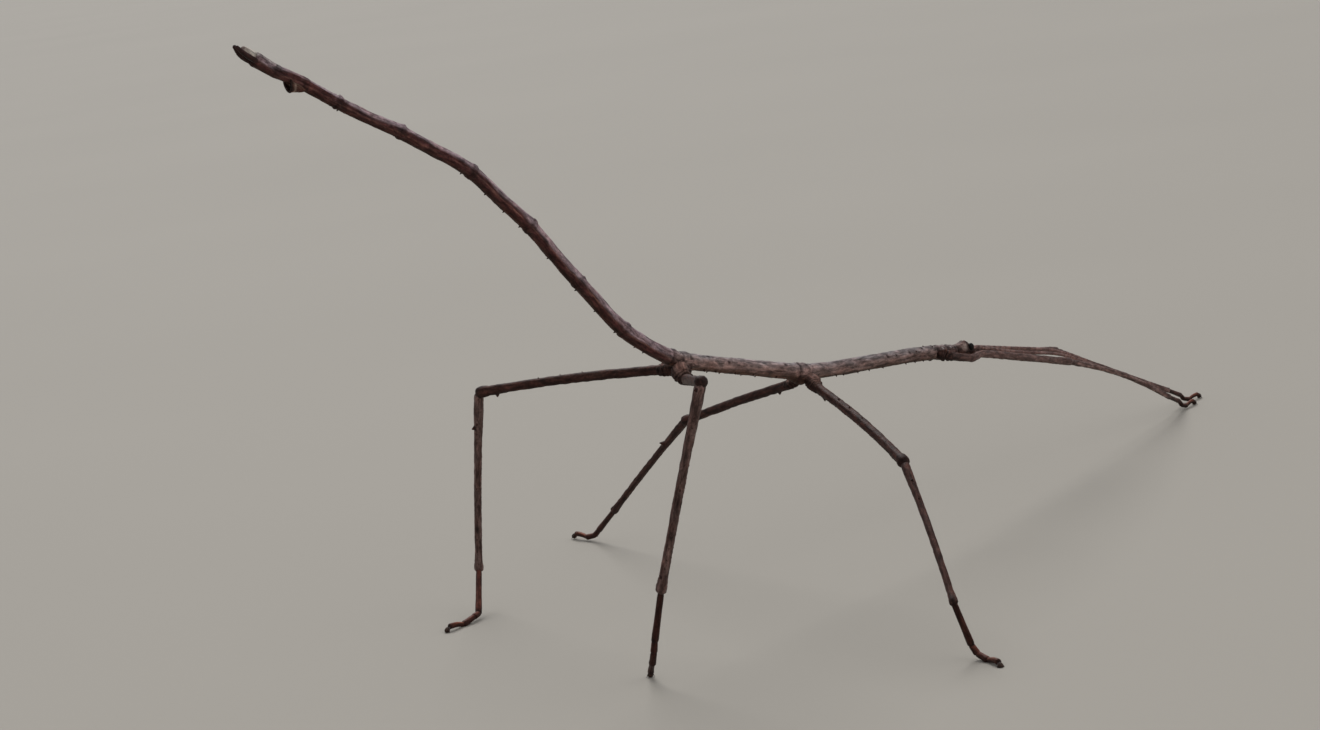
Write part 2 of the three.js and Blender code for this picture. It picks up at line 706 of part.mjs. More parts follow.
const thoraxBlockers = [
  trunkSolid(1, mesothoraxEnd, 18, fitGap),
  trunkSolid(mesothoraxEnd, firstAbdomenStation, 14, fitGap),
  trunkSolid(firstAbdomenStation, firstAbdomenStation + 1, 8, fitGap),
];
for (const [name, leg] of Object.entries(legs)) {
  const pieces = buildLeg(name, leg, thoraxBlockers);
  addPiece(`coxa_${name}`, pieces.coxa, darkBark);
  addPiece(`femur_${name}`, pieces.femur, darkBark);
  addPiece(`tibia_${name}`, pieces.tibia, darkBark);
  addPiece(`tarsus_${name}`, pieces.tarsus, footDark);
}

const feelerBlockers = [headSolid(fitGap), ...eyeSockets];
addPiece('antenna_left', antennaSolid(-1, feelerBlockers), darkBark);
addPiece('antenna_right', antennaSolid(1, feelerBlockers), darkBark);

const tailBlockers = [
  trunkSolid(segmentNine - 1, segmentNine, 8, fitGap),
  trunkSolid(segmentNine, segmentTen, 8, fitGap),
  trunkSolid(segmentTen, segmentTen + 1, 8, fitGap),
];
addPiece('poculum', poculumSolid(tailBlockers), darkBark);
addPiece('cercus_left', cercusSolid(-1, tailBlockers), footDark);
addPiece('cercus_right', cercusSolid(1, tailBlockers), footDark);
addPiece('supra_anal_plate', supraAnalPlate(tailBlockers), 0x9b8f87);

// The origin is on the floor, under the middle of the model's bounding box.
const box = new THREE.Box3().setFromObject(insect);
const middle = box.getCenter(new THREE.Vector3());
insect.position.set(-middle.x, -middle.y, -box.min.z);
export default insect;
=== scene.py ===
import math

import bpy
import numpy as np
from mathutils import Matrix, Vector
from mathutils.kdtree import KDTree


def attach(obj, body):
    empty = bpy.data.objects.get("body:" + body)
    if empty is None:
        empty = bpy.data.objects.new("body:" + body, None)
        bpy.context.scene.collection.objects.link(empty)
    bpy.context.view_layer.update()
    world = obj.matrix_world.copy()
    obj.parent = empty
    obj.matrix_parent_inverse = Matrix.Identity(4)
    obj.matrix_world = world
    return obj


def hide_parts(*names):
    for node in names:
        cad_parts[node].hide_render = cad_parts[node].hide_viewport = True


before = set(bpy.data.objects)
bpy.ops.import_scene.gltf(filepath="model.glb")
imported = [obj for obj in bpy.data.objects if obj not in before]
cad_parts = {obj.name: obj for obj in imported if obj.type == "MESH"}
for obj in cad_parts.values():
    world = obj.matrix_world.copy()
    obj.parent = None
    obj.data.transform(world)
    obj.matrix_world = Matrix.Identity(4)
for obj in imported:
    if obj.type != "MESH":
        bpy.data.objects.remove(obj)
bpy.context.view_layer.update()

mm = 0.001
originShift = np.array([-23.4938, -4.0579, 0.0])  # from the insect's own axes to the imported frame, mm
worldUp = np.array([0.0, 0.0, 1.0])
hashPrimes = (73856093, 19349663, 83492791)
hashSeed = 26544357
hashMix = 1274126177
noiseShift = 31.7  # keeps the noise clear of its own lattice
runSamples = 400


# sums used all over
def linear(colour):
    share = np.asarray(colour, float) / 255.0
    return np.where(share <= 0.04045, share / 12.92, ((share + 0.055) / 1.055) ** 2.4)


def unit(way):
    way = np.asarray(way, float)
    return way / np.linalg.norm(way, axis=-1, keepdims=True)


def wayOf(heading, rise):
    h, e = math.radians(heading), math.radians(rise)
    return np.array([math.cos(e) * math.cos(h), math.cos(e) * math.sin(h), math.sin(e)])


def easeBetween(low, high, value):
    t = np.clip((value - low) / (high - low), 0, 1)
    return t * t * (3 - 2 * t)


def hump(value, centre, width):
    return np.exp(-(((value - centre) / width) ** 2))


def humped(relief, value, *rows):
    for height, centre, width in rows:
        relief = relief + height * hump(value, centre, width)
    return relief


def mixed(first, second, share):
    share = np.asarray(share, float)[..., None]
    return first * (1 - share) + second * share


def painted(coat, colours, *layers):
    # lays named colours over a coat, each with its own share
    for label, share in layers:
        coat = mixed(coat, linear(colours[label]), share)
    return coat


def profileAt(place, profile, size=1.0):
    return np.interp(place, [pair[0] for pair in profile], [pair[1] * size for pair in profile])


def runLength(points):
    return np.concatenate([[0], np.cumsum(np.linalg.norm(np.diff(points, axis=0), axis=1))])


def ringTurns(corners):
    return (np.arange(corners) * 2 * math.pi / corners)[None]


def wrapped(turn):
    return np.where(turn > math.pi, turn - 2 * math.pi, turn)


def grainNoise(points, seed):
    # smooth noise from -1 to 1 at any points, the same on every run
    cell = np.floor(points).astype(np.int64)
    f = points - cell
    f = f * f * (3 - 2 * f)
    total = 0.0
    for corner in range(8):
        n, weight = seed * hashSeed, 1.0
        for axis, prime in enumerate(hashPrimes):
            step = (corner >> axis) & 1
            n = n ^ (cell[..., axis] + step) * prime
            weight = weight * (f[..., axis] if step else 1 - f[..., axis])
        n = ((n ^ (n >> 13)) * hashMix) & 0xFFFFFFFF
        total = total + weight * (((n ^ (n >> 16)) & 0xFFFF) / 32768.0 - 1.0)
    return total


def aroundNoise(turn, along, finenessAround, finenessAlong, seed):
    # noise that closes on itself round a tube
    shape = np.broadcast(turn, along).shape
    axes = (np.cos(turn) * finenessAround, np.sin(turn) * finenessAround, along * finenessAlong)
    return grainNoise(np.stack([np.broadcast_to(axis, shape) for axis in axes], -1) + noiseShift, seed)


def noisy(relief, turn, along, *layers):
    for height, finenessAround, finenessAlong, seed in layers:
        relief = relief + height * aroundNoise(turn, along, finenessAround, finenessAlong, seed)
    return relief


def smoothRun(joints, stations):
    # centripetal curve through the joints, with its tangents, at whole and part stations
    joints = np.asarray(joints, float)
    stations = np.asarray(stations, float)
    ends = np.vstack([2 * joints[0] - joints[1], joints, 2 * joints[-1] - joints[-2]])
    stretch = np.clip(np.floor(stations).astype(int), 0, len(joints) - 2)
    w = (stations - stretch)[:, None]
    p0, p1, p2, p3 = (ends[stretch + step] for step in range(4))
    d0, d1, d2 = (np.sqrt(np.linalg.norm(b - a, axis=1))[:, None] for a, b in ((p0, p1), (p1, p2), (p2, p3)))
    out = ((p1 - p0) / d0 - (p2 - p0) / (d0 + d1) + (p2 - p1) / d1) * d1
    into = ((p2 - p1) / d1 - (p3 - p1) / (d1 + d2) + (p3 - p2) / d2) * d1
    c2 = -3 * p1 + 3 * p2 - 2 * out - into
    c3 = 2 * p1 - 2 * p2 + out + into
    return p1 + out * w + c2 * w**2 + c3 * w**3, unit(out + 2 * c2 * w + 3 * c3 * w**2)


def uprightFrames(tangents):
    side = unit(np.cross(worldUp, tangents))
    return side, np.cross(tangents, side)


def uprightFrame(tangent):
    return (way[0] for way in uprightFrames(tangent[None]))


def carriedFrames(tangents):
    # the first frame is upright and the rest turn as little as they can
    side = [unit(np.cross(worldUp, tangents[0]))]
    for tangent in tangents[1:]:
        side.append(unit(side[-1] - np.dot(side[-1], tangent) * tangent))
    side = np.array(side)
    return side, np.cross(tangents, side)


def ringRun(length, spacing, startRound, endRound):
    # places for the rings of a tube, and how far each is drawn in where an end is rounded
    quarter = np.radians(np.array([14, 32, 50, 68]))
    start, end = startRound * (1 - np.cos(quarter)), length - endRound * (1 - np.cos(quarter[::-1]))
    count = max(2, int(round((length - startRound - endRound) / spacing)) + 1)
    middle = np.linspace(startRound, length - endRound, count)
    drawnIn = np.concatenate([np.sin(quarter), np.ones(count), np.sin(quarter[::-1])])
    return np.concatenate([start, middle, end]), drawnIn


# parts of the skin: closed bodies, each with its own lengthwise lie, coat and roughness
def tubePart(centres, side, top, halfSide, halfTop, lengthAt, coat, rough, slant=0.0):
    rings, corners = halfSide.shape
    side, top = (np.broadcast_to(way, centres.shape)[:, None] for way in (side, top))
    turn = ringTurns(corners)
    across, above = np.sin(turn) * halfSide, np.cos(turn) * halfTop
    points = centres[:, None] + side * across[..., None] + top * above[..., None] + slant
    lie = np.stack([across, above, np.broadcast_to(lengthAt[:, None], across.shape)], -1)
    points = points.reshape(-1, 3)
    a = np.arange((rings - 1) * corners)
    b = a - a % corners + (a + 1) % corners
    faces = np.stack([a, a + corners, b + corners, b], -1).tolist()
    last = (rings - 1) * corners
    for edge, middle in ((0, rings * corners), (last, rings * corners + 1)):
        for corner in range(corners):
            a, b = edge + corner, edge + (corner + 1) % corners
            faces.append([middle, a, b] if edge == 0 else [middle, b, a])
    coat = np.broadcast_to(coat, (rings, corners, 3)).reshape(-1, 3)
    rough = np.broadcast_to(rough, (rings, corners)).reshape(-1)
    return {
        "points": np.vstack([points, points[:corners].mean(0), points[last:].mean(0)]),
        "faces": faces,
        "lie": np.vstack([lie.reshape(-1, 3), [[0, 0, lengthAt[0]], [0, 0, lengthAt[-1]]]]),
        "coat": np.vstack([coat, coat[0], coat[-1]]),
        "rough": np.concatenate([rough, rough[:1], rough[-1:]]),
    }


skinSources = []
floorLevel = 0.0


def placeObject(name, data):
    made = bpy.data.objects.new(name, data)
    bpy.context.scene.collection.objects.link(made)
    return made


def bodyFrom(name, parts, grain=None):
    # joins parts that stay clear of each other into one mesh, in metres
    faces = []
    count = 0
    for part in parts:
        faces += [[corner + count for corner in face] for face in part["faces"]]
        count += len(part["points"])
        if grain is not None:  # a part of the skin, with its share of grains
            skinSources.append({**part, "grain": grain})
    points = np.vstack([part["points"] for part in parts])
    points[:, 2] = np.maximum(points[:, 2], floorLevel)
    mesh = bpy.data.meshes.new(name)
    mesh.from_pydata(((points + originShift) * mm).tolist(), [], faces)
    mesh.validate()
    return placeObject(name, mesh)


# trunk
trunkSettings = {
    "overHindCoxae": (-0.7, 0.0, 25.5),
    "headwardRun": [(17.2, 15), (18.9, 7.5), (3.4, 10), (3.1, 11.5)],  # length and fall of each stretch, mm
    "tailwardRun": [(2.2, 23.5), (6.5, 35), (7.1, 49), (7.7, 51), (8.2, 44), (8.4, 32.5),
                    (7.1, 29.5), (3.8, 32.5), (3.0, 27), (2.2, 36.5), (1.8, 39.5)],  # length and rise
    "girths": [1.0, 1.2, 1.44, 1.52, 1.52, 1.52, 1.42, 1.36, 1.36, 1.28, 1.16, 1.12, 1.14, 1.16, 1.3, 0.56],
    # of the axis, at every half joint from the mesothorax on
    "lifts": [0, 0.04, -0.15, 0.14, 0.15, 0.17, 0.12, 0.12, 0.15, 0.17, 0.1, 0.01, 0.05, -0.12, 0.15, 0.02,
              0.13, 0, 0.1, 0.04, 0.02, 0.12, 0.12, 0.1, 0],
    "inset": 0.02,
    "collarRise": 0.065, "collarReach": 0.55, "waistDrop": 0.025,
    "ringSpacing": 0.14, "corners": 44, "firstStation": 0.88, "lastStation": 14.03,
    "frontRound": 0.4, "tailRound": 0.35,
    # the flank and belly colours of thorax, pronotum and abdomen are partly the insect's own darker colour
    # and partly painted shade
    "thoraxBack": (150, 140, 140), "thoraxFlankAndShade": (142, 118, 112), "thoraxBellyAndShade": (84, 60, 50),
    "pronotumBack": (150, 134, 132), "pronotumFlankAndShade": (104, 84, 80),
    "abdomenBack": (152, 132, 137), "abdomenFlankAndShade": (80, 48, 47), "abdomenBellyAndShade": (66, 42, 37),
    "collarDark": (46, 30, 28), "foldPale": (138, 104, 88), "tailPale": (164, 158, 156),
    # how far down the pale back comes on each ring, degrees
    "backReach": [104, 101, 102, 87, 70, 89, 60, 63, 108],
    "spots": [
        (2.46, 1.0, 0.1, "collarDark"), (2.28, 0.95, 0.12, "collarDark"), (2.15, 0.5, 0.12, "collarDark"),
        (2.02, 0.5, 0.24, "tailPale"), (3.2, 0.7, 0.13, "collarDark"), (3.62, 1.1, 0.12, "collarDark"),
        (3.78, 0.5, 0.14, "collarDark"), (1.3, 0.7, 0.2, "tailPale"), (1.75, 0.9, 0.22, "tailPale"),
    ],  # station, turn, radius and colour of each small mark
    "cracks": [
        (3.62, 3.92, 0.75, 0.35), (3.3, 3.5, 0.5, 0.8), (2.5, 2.75, 0.9, 0.6), (1.2, 1.8, 0.9, 0.7),
        (3.1, 3.4, 1.7, 1.9), (2.1, 2.4, 1.6, 1.8), (4.3, 4.7, 0.7, 0.9), (5.1, 5.6, 1.1, 0.8),
    ],  # first and last station, and the turn at each, of the dark lines along the back and flank
    "lengthwiseRidges": [
        (0.036, 1.12, 1, 0.13), (-0.06, 1.72, 1, 0.09), (0.04, 2.12, -1, 0.16), (-0.03, 2.65, 0, 0.12),
    ],  # height, turn, how it wanders, width
    "collarRidges": [
        (0.07, -0.24, 0.17, True), (-0.1, 0.05, 0.09, False), (0.04, 0.27, 0.1, True),
        (-0.035, 0.45, 0.08, False), (-0.035, -0.56, 0.1, False),
    ],  # height, place past the joint, width, whether it is lumpy
    "collarMarks": [(0.85, 0.05, 0.13), (0.7, -0.42, 0.1), (0.45, -0.2, 0.45)],  # share, place, width
    "grooves": [
        (1.08, 0.08, 0.09), (1.5, 0.05, 0.12), (1.97, 0.1, 0.1), (3.1, 0.07, 0.09), (4.35, 0.035, 0.08),
        (5.0, 0.06, 0.08),
    ],  # station, depth, width
    "coxalSwells": [
        (3.06, 0.56, 1.15, 3.14), (3.03, 0.16, 0.9, 2.1), (3.05, 0.13, 0.3, 0.55), (3.1, 0.09, 0.28, 0.0),
        (3.04, 0.08, 0.25, 1.1), (3.97, 0.22, 1.0, 3.14), (3.98, 0.14, 0.8, 2.1), (4.05, 0.12, 0.45, 0.35),
        (3.9, 0.08, 0.3, 0.9), (4.75, 0.12, 0.26, 0.0), (4.9, 0.08, 0.2, 0.6), (1.62, 0.12, 0.6, 2.5),
    ],  # station, height, length, turn
}
abdomenStart = len(trunkSettings["headwardRun"]) + 1  # station where the second abdominal ring begins
tailEase = 12  # from this joint on the collars hardly stand out


def trunkJoints():
    start = np.array(trunkSettings["overHindCoxae"])
    ahead, behind = [], []
    point = start
    for length, fall in trunkSettings["headwardRun"]:
        point = point + wayOf(0, -fall) * length
        ahead.insert(0, point)
    point = start
    for length, rise in trunkSettings["tailwardRun"]:
        point = point + wayOf(180, rise) * length
        behind.append(point)
    return np.array([*ahead, start, *behind])


joints = trunkJoints()
stretchLengths = np.linalg.norm(np.diff(joints, axis=0), axis=1)
jointReach = runLength(joints)


def reachAt(station):
    return np.interp(station, np.arange(len(joints)), jointReach)


def trunkSpots(stations):
    centre, tangent = smoothRun(joints, stations)
    side, top = uprightFrames(tangent)
    lifts = trunkSettings["lifts"]
    lift = np.interp(stations, 2 + 0.5 * np.arange(len(lifts)), lifts)[:, None]
    return centre + top * lift, tangent, side, top


def trunkSpot(station):
    return (value[0] for value in trunkSpots(np.atleast_1d(station)))


def collarShare(station):
    return 1 - 0.8 * easeBetween(tailEase - 0.6, tailEase - 0.4, station)


def trunkHalf(station):
    s = trunkSettings
    girth = np.interp(station, np.arange(len(joints)), s["girths"])
    joint = np.clip(np.floor(station).astype(int), 0, len(joints) - 2)
    place = station - joint
    toCollar = (1 - place) * stretchLengths[joint]
    collar = 2 * s["collarRise"] * hump(toCollar, 0, s["collarReach"]) * collarShare(station)
    waist = 2 * s["waistDrop"] * np.sin(math.pi * place)
    return (girth + np.where(station > abdomenStart, collar - waist, 0)) / 2 - s["inset"]


def collarWander(number, along, turn):
    # each collar runs unevenly round the body, with small V shapes over the back
    zigzag = np.abs((turn * 1.35 + 0.37 * number) % 1 - 0.5)
    return 0.1 * aroundNoise(turn, along * 0 + number, 1.1, 5.3, 13) + 0.34 * zigzag * hump(turn, 0, 1.1)


def coxaNearness(along):
    return sum(hump(along, reachAt(place), 0.9) for place in (3.02, 3.98))


def trunkRelief(station, along, turn):
    s = trunkSettings
    thorax = 1 - easeBetween(abdomenStart - 0.1, abdomenStart + 0.15, station)
    spread = np.abs(turn)
    relief = noisy(
        0, turn, along, (0.036, 1.5, 0.9, 3), (0.03, 4.2, 0.7, 5), (0.014 + 0.012 * thorax, 4.5, 3.4, 7),
    )
    wander = 0.12 * aroundNoise(turn * 0, along, 1, 0.35, 11)
    keel = (0.03 + 0.02 * thorax) * hump(turn, wander * 0.6, 0.13)
    relief = relief + keel * (0.75 + 0.4 * aroundNoise(turn * 0, along, 1, 2.2, 12))
    for height, lean, drift, width in s["lengthwiseRidges"]:
        relief = relief + height * hump(spread, lean + drift * wander, width)
    for number in range(abdomenStart + 1, len(joints)):
        past = along - jointReach[number] + collarWander(number, along, turn)
        lumps = 1 + 0.45 * np.cos(9 * turn + 1.7 * number) * easeBetween(0.4, 1.2, spread)
        lumps = lumps + 0.5 * hump(turn, 0, 0.5)
        ridges = 0
        for height, place, width, lumpy in s["collarRidges"]:
            ridges = ridges + height * hump(past, place, width) * (lumps if lumpy else 1)
        relief = relief + ridges * collarShare(number) * (0.4 + 0.6 * hump(turn, 0, 1.5))
    for place, depth, width in s["grooves"]:
        for share, aside, broad in ((-1, 0, 1), (0.45, -2.6, 1.3), (0.35, 2.6, 1.3)):
            relief = relief + share * depth * hump(along, reachAt(place) + aside * width, broad * width)
    for place, height, length, lean in s["coxalSwells"]:
        relief = relief + height * hump(along, reachAt(place), length) * hump(spread, lean, 0.62)
    return relief + 0.055 * coxaNearness(along) * aroundNoise(turn, along, 4.6, 4.2, 14)


def trunkCoat(station, along, turn):
    s = trunkSettings
    spread = noisy(np.degrees(np.abs(turn)), turn, along, (9, 1.5, 0.5, 21), (5, 4, 1.6, 22))
    # thorax and pronotum darken from the back down to the belly: partly their own colour, partly painted
    # shade
    thorax = painted(
        linear(s["thoraxBack"]), s,
        ("thoraxFlankAndShade", easeBetween(15, 95, spread)), ("thoraxBellyAndShade", easeBetween(85, 150, spread)),
    )
    pronotum = painted(linear(s["pronotumBack"]), s, ("pronotumFlankAndShade", easeBetween(20, 80, spread)))
    thorax = mixed(thorax, pronotum, 1 - easeBetween(1.95, 2.05, station + 0 * turn))
    thorax = thorax * (1 - 0.24 * easeBetween(3.1, 2.9, station))[..., None]
    backReach = np.interp(station, abdomenStart + 0.5 + np.arange(len(s["backReach"])), s["backReach"])
    foldLine = 0.75 + 0.5 * aroundNoise(turn, along, 1, 0.8, 24)
    # the abdomen darkens from the pale back down the flank to the belly: partly its own colour, partly
    # painted shade
    abdomen = painted(
        linear(s["abdomenBack"]), s,
        ("abdomenFlankAndShade", easeBetween(backReach - 14, backReach + 12, spread)),
        ("abdomenBellyAndShade", easeBetween(125, 160, spread)),
        ("collarDark", 0.6 * np.clip(foldLine * hump(spread, backReach + 4, 9), 0, 1)),
        ("foldPale", 0.5 * np.clip(foldLine * hump(spread, 112, 5), 0, 1)),
    )
    coat = mixed(thorax, abdomen, easeBetween(abdomenStart - 0.3, abdomenStart + 0.3, station + 0 * turn))
    tail = easeBetween(12.7, 13.0, station) * (1 - easeBetween(50, 80, spread))
    coat = painted(coat, s, ("tailPale", 0.8 * tail))
    worn = np.clip(0.8 + 0.4 * aroundNoise(turn, along, 3, 2, 23), 0, 1)
    for number in range(abdomenStart, len(joints)):
        past = along - jointReach[number] + collarWander(number, along, turn)
        dark = np.max([share * hump(past, place, width) for share, place, width in s["collarMarks"]], 0)
        dark = dark * (1 if number > abdomenStart else 0.5)
        pale = 0.45 * hump(past, 0.36, 0.14) * hump(turn, 0, 1.2)
        coat = painted(coat, s, ("collarDark", dark * worn), ("abdomenBack", pale))
    for place, _, width in s["grooves"]:
        coat = painted(coat, s, ("collarDark", 0.75 * hump(along, reachAt(place), 2 * width) + 0 * turn))
    cracked = easeBetween(0.05, 0.45, -aroundNoise(turn, along, 4.6, 4.2, 14))
    coat = painted(coat, s, ("collarDark", 0.75 * cracked * coxaNearness(along)))
    for start, end, leanStart, leanEnd in s["cracks"]:
        share = (station - start) / (end - start)
        line = leanStart + (leanEnd - leanStart) * share + 0.1 * np.sin(9 * share)
        shown = hump(share, 0.5, 0.5) * hump((turn - line) * 0.7, 0, 0.06)
        coat = painted(coat, s, ("collarDark", 0.85 * shown))
    for place, lean, radius, colour in s["spots"]:
        away = np.hypot(along - reachAt(place), (turn - lean) * 0.7)
        inside = 1 - easeBetween(0.6 * radius, radius, away)
        coat = painted(coat, s, ("collarDark", 0.8 * hump(away, radius, 0.1)), (colour, 0.85 * inside))
    return coat


def trunkPart():
    s = trunkSettings
    dense = np.linspace(s["firstStation"], s["lastStation"], 10 * runSamples)
    reach = runLength(trunkSpots(dense)[0])
    along, drawnIn = ringRun(reach[-1], s["ringSpacing"], s["frontRound"], s["tailRound"])
    station = np.interp(along, reach, dense)[:, None]
    centre, _, side, top = trunkSpots(station[:, 0])
    turn = wrapped(ringTurns(s["corners"]))
    lengthAt = reachAt(station)
    half = (trunkHalf(station) + trunkRelief(station, lengthAt, turn)) * drawnIn[:, None]
    rough = 0.62 - 0.1 * easeBetween(1.0, 1.8, np.abs(turn)) + 0 * station
    coat = trunkCoat(station, lengthAt, turn)
    return tubePart(centre, side, top, half, half, lengthAt[:, 0], coat, rough)


# head
headSettings = {
    "width": 1.56, "height": 1.49, "length": 3.1, "crown": 0.4, "crownPlace": 0.5,
    "corners": 56, "ringSpacing": 0.05, "neckRound": 0.12, "faceRound": 0.2,
    "crownColour": (124, 108, 104), "crownDark": (66, 40, 33), "cheekPale": (196, 172, 162),
    "lowerBrown": (120, 90, 74), "faceDark": (66, 47, 42),
    # height, place and width along the head, and the turns between which each grows:
    # the fold behind the eyes, the swell before it, the jaw and the edge of the lip
    "folds": [
        (-0.05, 0.24, 0.03, 0.3, 0.7), (0.05, 0.3, 0.05, -2, -1), (0.05, 0.93, 0.05, 1.7, 2.4),
        (-0.05, 0.86, 0.02, 1.9, 2.4),
    ],
}
eyeSettings = {
    "radius": 0.39, "bulge": 0.84, "facetEdge": 0.8, "facetRise": 0.012,
    "ahead": 0.66, "aside": 0.62, "above": 0.42,
}
_, browTangent, headSide, headTop = trunkSpot(0.0)
neck = next(trunkSpot(1.0))


def headPoint(ahead, aside, above):
    return neck - browTangent * headSettings["length"] * ahead + headSide * aside + headTop * above


def headPart():
    s = headSettings
    along, drawnIn = ringRun(s["length"] * 0.99, s["ringSpacing"], s["neckRound"], s["faceRound"])
    reach = along[:, None]
    place = reach / s["length"]
    turn = wrapped(ringTurns(s["corners"]))
    spread = np.abs(turn)
    dome = np.sqrt(np.clip(1 - ((place - 0.42) / 0.66) ** 2, 0, 1))
    eyeRim = np.hypot((place - 0.66) * s["length"], (spread - 1.02) * 0.75)
    relief = noisy(0, turn, reach, (0.02, 2.6, 2.6, 41), (0.012, 7, 6, 42))
    relief = relief - 0.06 * hump(spread, 2.0, 0.09) * easeBetween(0.45, 0.6, place)  # cheek line
    for height, middle, width, low, high in s["folds"]:
        relief = relief + height * hump(place, middle, width) * easeBetween(low, high, spread)
    relief = relief - 0.05 * hump(turn, 0, 0.08) * hump(place, 0.66, 0.14)  # furrow between the horns
    relief = humped(relief, eyeRim, (0.05, 0.46, 0.06))
    halfSide = (s["width"] / 2 * (0.3 + 0.7 * dome) + relief) * drawnIn[:, None]
    halfTop = (s["height"] / 2 * (0.28 + 0.72 * dome) + relief) * drawnIn[:, None]
    crown = s["crown"] * hump(place, s["crownPlace"], 0.16) * np.clip(np.cos(turn), 0, 1) ** 2
    crown = crown * (1 - 0.22 * hump(turn, 0, 0.16)) * (0.94 + 0.06 * aroundNoise(turn, reach, 4, 5, 43))
    coat = painted(
        linear(s["crownColour"]), s,
        ("faceDark", easeBetween(0.35, 0.9, spread) + 0 * place),
        ("lowerBrown", easeBetween(1.7, 2.1, noisy(spread, turn, reach, (0.15, 2, 2, 44)))),
        ("crownDark", 0.95 * hump(place, 0.45, 0.17) * hump(turn, 0, 0.75)),
        ("faceDark", easeBetween(2.4, 2.9, spread) + 0 * place),
        ("cheekPale", 0.9 * hump(place, 0.36, 0.13) * hump(spread, 1.0, 0.35)),
        ("faceDark", 0.8 * hump(eyeRim, 0.5, 0.14)),
        ("faceDark", 0.7 * easeBetween(0.9, 1.0, place) + 0 * turn),
    )
    slant = crown[..., None] * headTop
    flipped = (value[::-1] for value in (headPoint(place, 0, 0), halfSide, halfTop, along, coat, slant))
    centres, halfSide, halfTop, along, coat, slant = flipped
    return tubePart(centres, headSide, headTop, halfSide, halfTop, along, coat, 0.5, slant)


# feelers, palps and other slim runs
feelerSettings = {
    "base": 0.5, "tip": 0.3, "apart": 0.3, "lift": 0.2, "ringLength": 1.35,
    "waypoints": [(50, 2.0, 15.42), (60, 3.5, 12.85), (67, 4.55, 10.15)],
    "colour": (130, 102, 96), "ringColour": (92, 68, 64),
}


def slimPart(path, diameters, coat, ridges=None, *, corners, spacing, rough, startRound, endRound):
    stations = np.linspace(0, len(path) - 1, runSamples)
    reach = runLength(smoothRun(path, stations)[0])
    along, drawnIn = ringRun(reach[-1], spacing, startRound, endRound)
    centre, tangent = smoothRun(path, np.interp(along, reach, stations))
    side, top = carriedFrames(tangent)
    turn = ringTurns(corners)
    half = profileAt(along / reach[-1], diameters, 0.5)[:, None] + 0 * turn
    if ridges:
        half = half + ridges(along[:, None], turn)
    half = half * drawnIn[:, None]
    colours = coat(along[:, None], turn) if callable(coat) else coat
    return tubePart(centre, side, top, half, half, along, colours, rough)


def feelerPart(sideSign):
    s = feelerSettings
    lift = s["lift"] if sideSign < 0 else -s["lift"]
    away = [np.array([x, y - sideSign * s["apart"], z + lift]) for x, y, z in s["waypoints"]]
    path = [headPoint(0.86, sideSign * 0.34, 0.22), headPoint(1.2, sideSign * 0.36, 0.3), *away]

    def toRing(along):
        return np.abs((along / s["ringLength"]) % 1 - 0.5) * s["ringLength"]

    def ridges(along, turn):
        joint = humped(0, toRing(along), (-0.035, 0, 0.07), (0.02, 0.16, 0.08))
        scape = humped(0, along, (0.05, 0.75, 0.3), (-0.07, 1.3, 0.09), (-0.04, 1.85, 0.07))
        return noisy(joint * easeBetween(1.9, 2.3, along) + scape, turn, along, (0.008, 3, 2.5, 61))

    def coat(along, turn):
        return painted(linear(s["colour"]), s, ("ringColour", 0.8 * hump(toRing(along), 0, 0.12) + 0 * turn))

    girths = [(0, s["base"]), (0.08, 0.46), (0.16, 0.38), (1, s["tip"])]
    return slimPart(
        path, girths, coat, ridges, corners=12, spacing=0.16, rough=0.45, startRound=0.1, endRound=0.14,
    )


def palpParts():
    parts = []
    coat = linear(headSettings["faceDark"])
    girths = [(0, 0.16), (0.45, 0.15), (0.5, 0.11), (0.9, 0.14), (1, 0.12)]
    for sideSign in (-1, 1):
        for ahead, aside, drop in ((0.86, 0.3, 0.0), (0.94, 0.13, 0.02)):
            bends = ((-0.06, 1, -0.3), (0.02, 1.15, -0.52), (0.12, 1, -0.56))
            path = [headPoint(ahead + on, sideSign * aside * out, above - drop) for on, out, above in bends]
            parts.append(slimPart(
                path, girths, coat, corners=10, spacing=0.04, rough=0.45, startRound=0.05, endRound=0.06,
            ))
    return parts


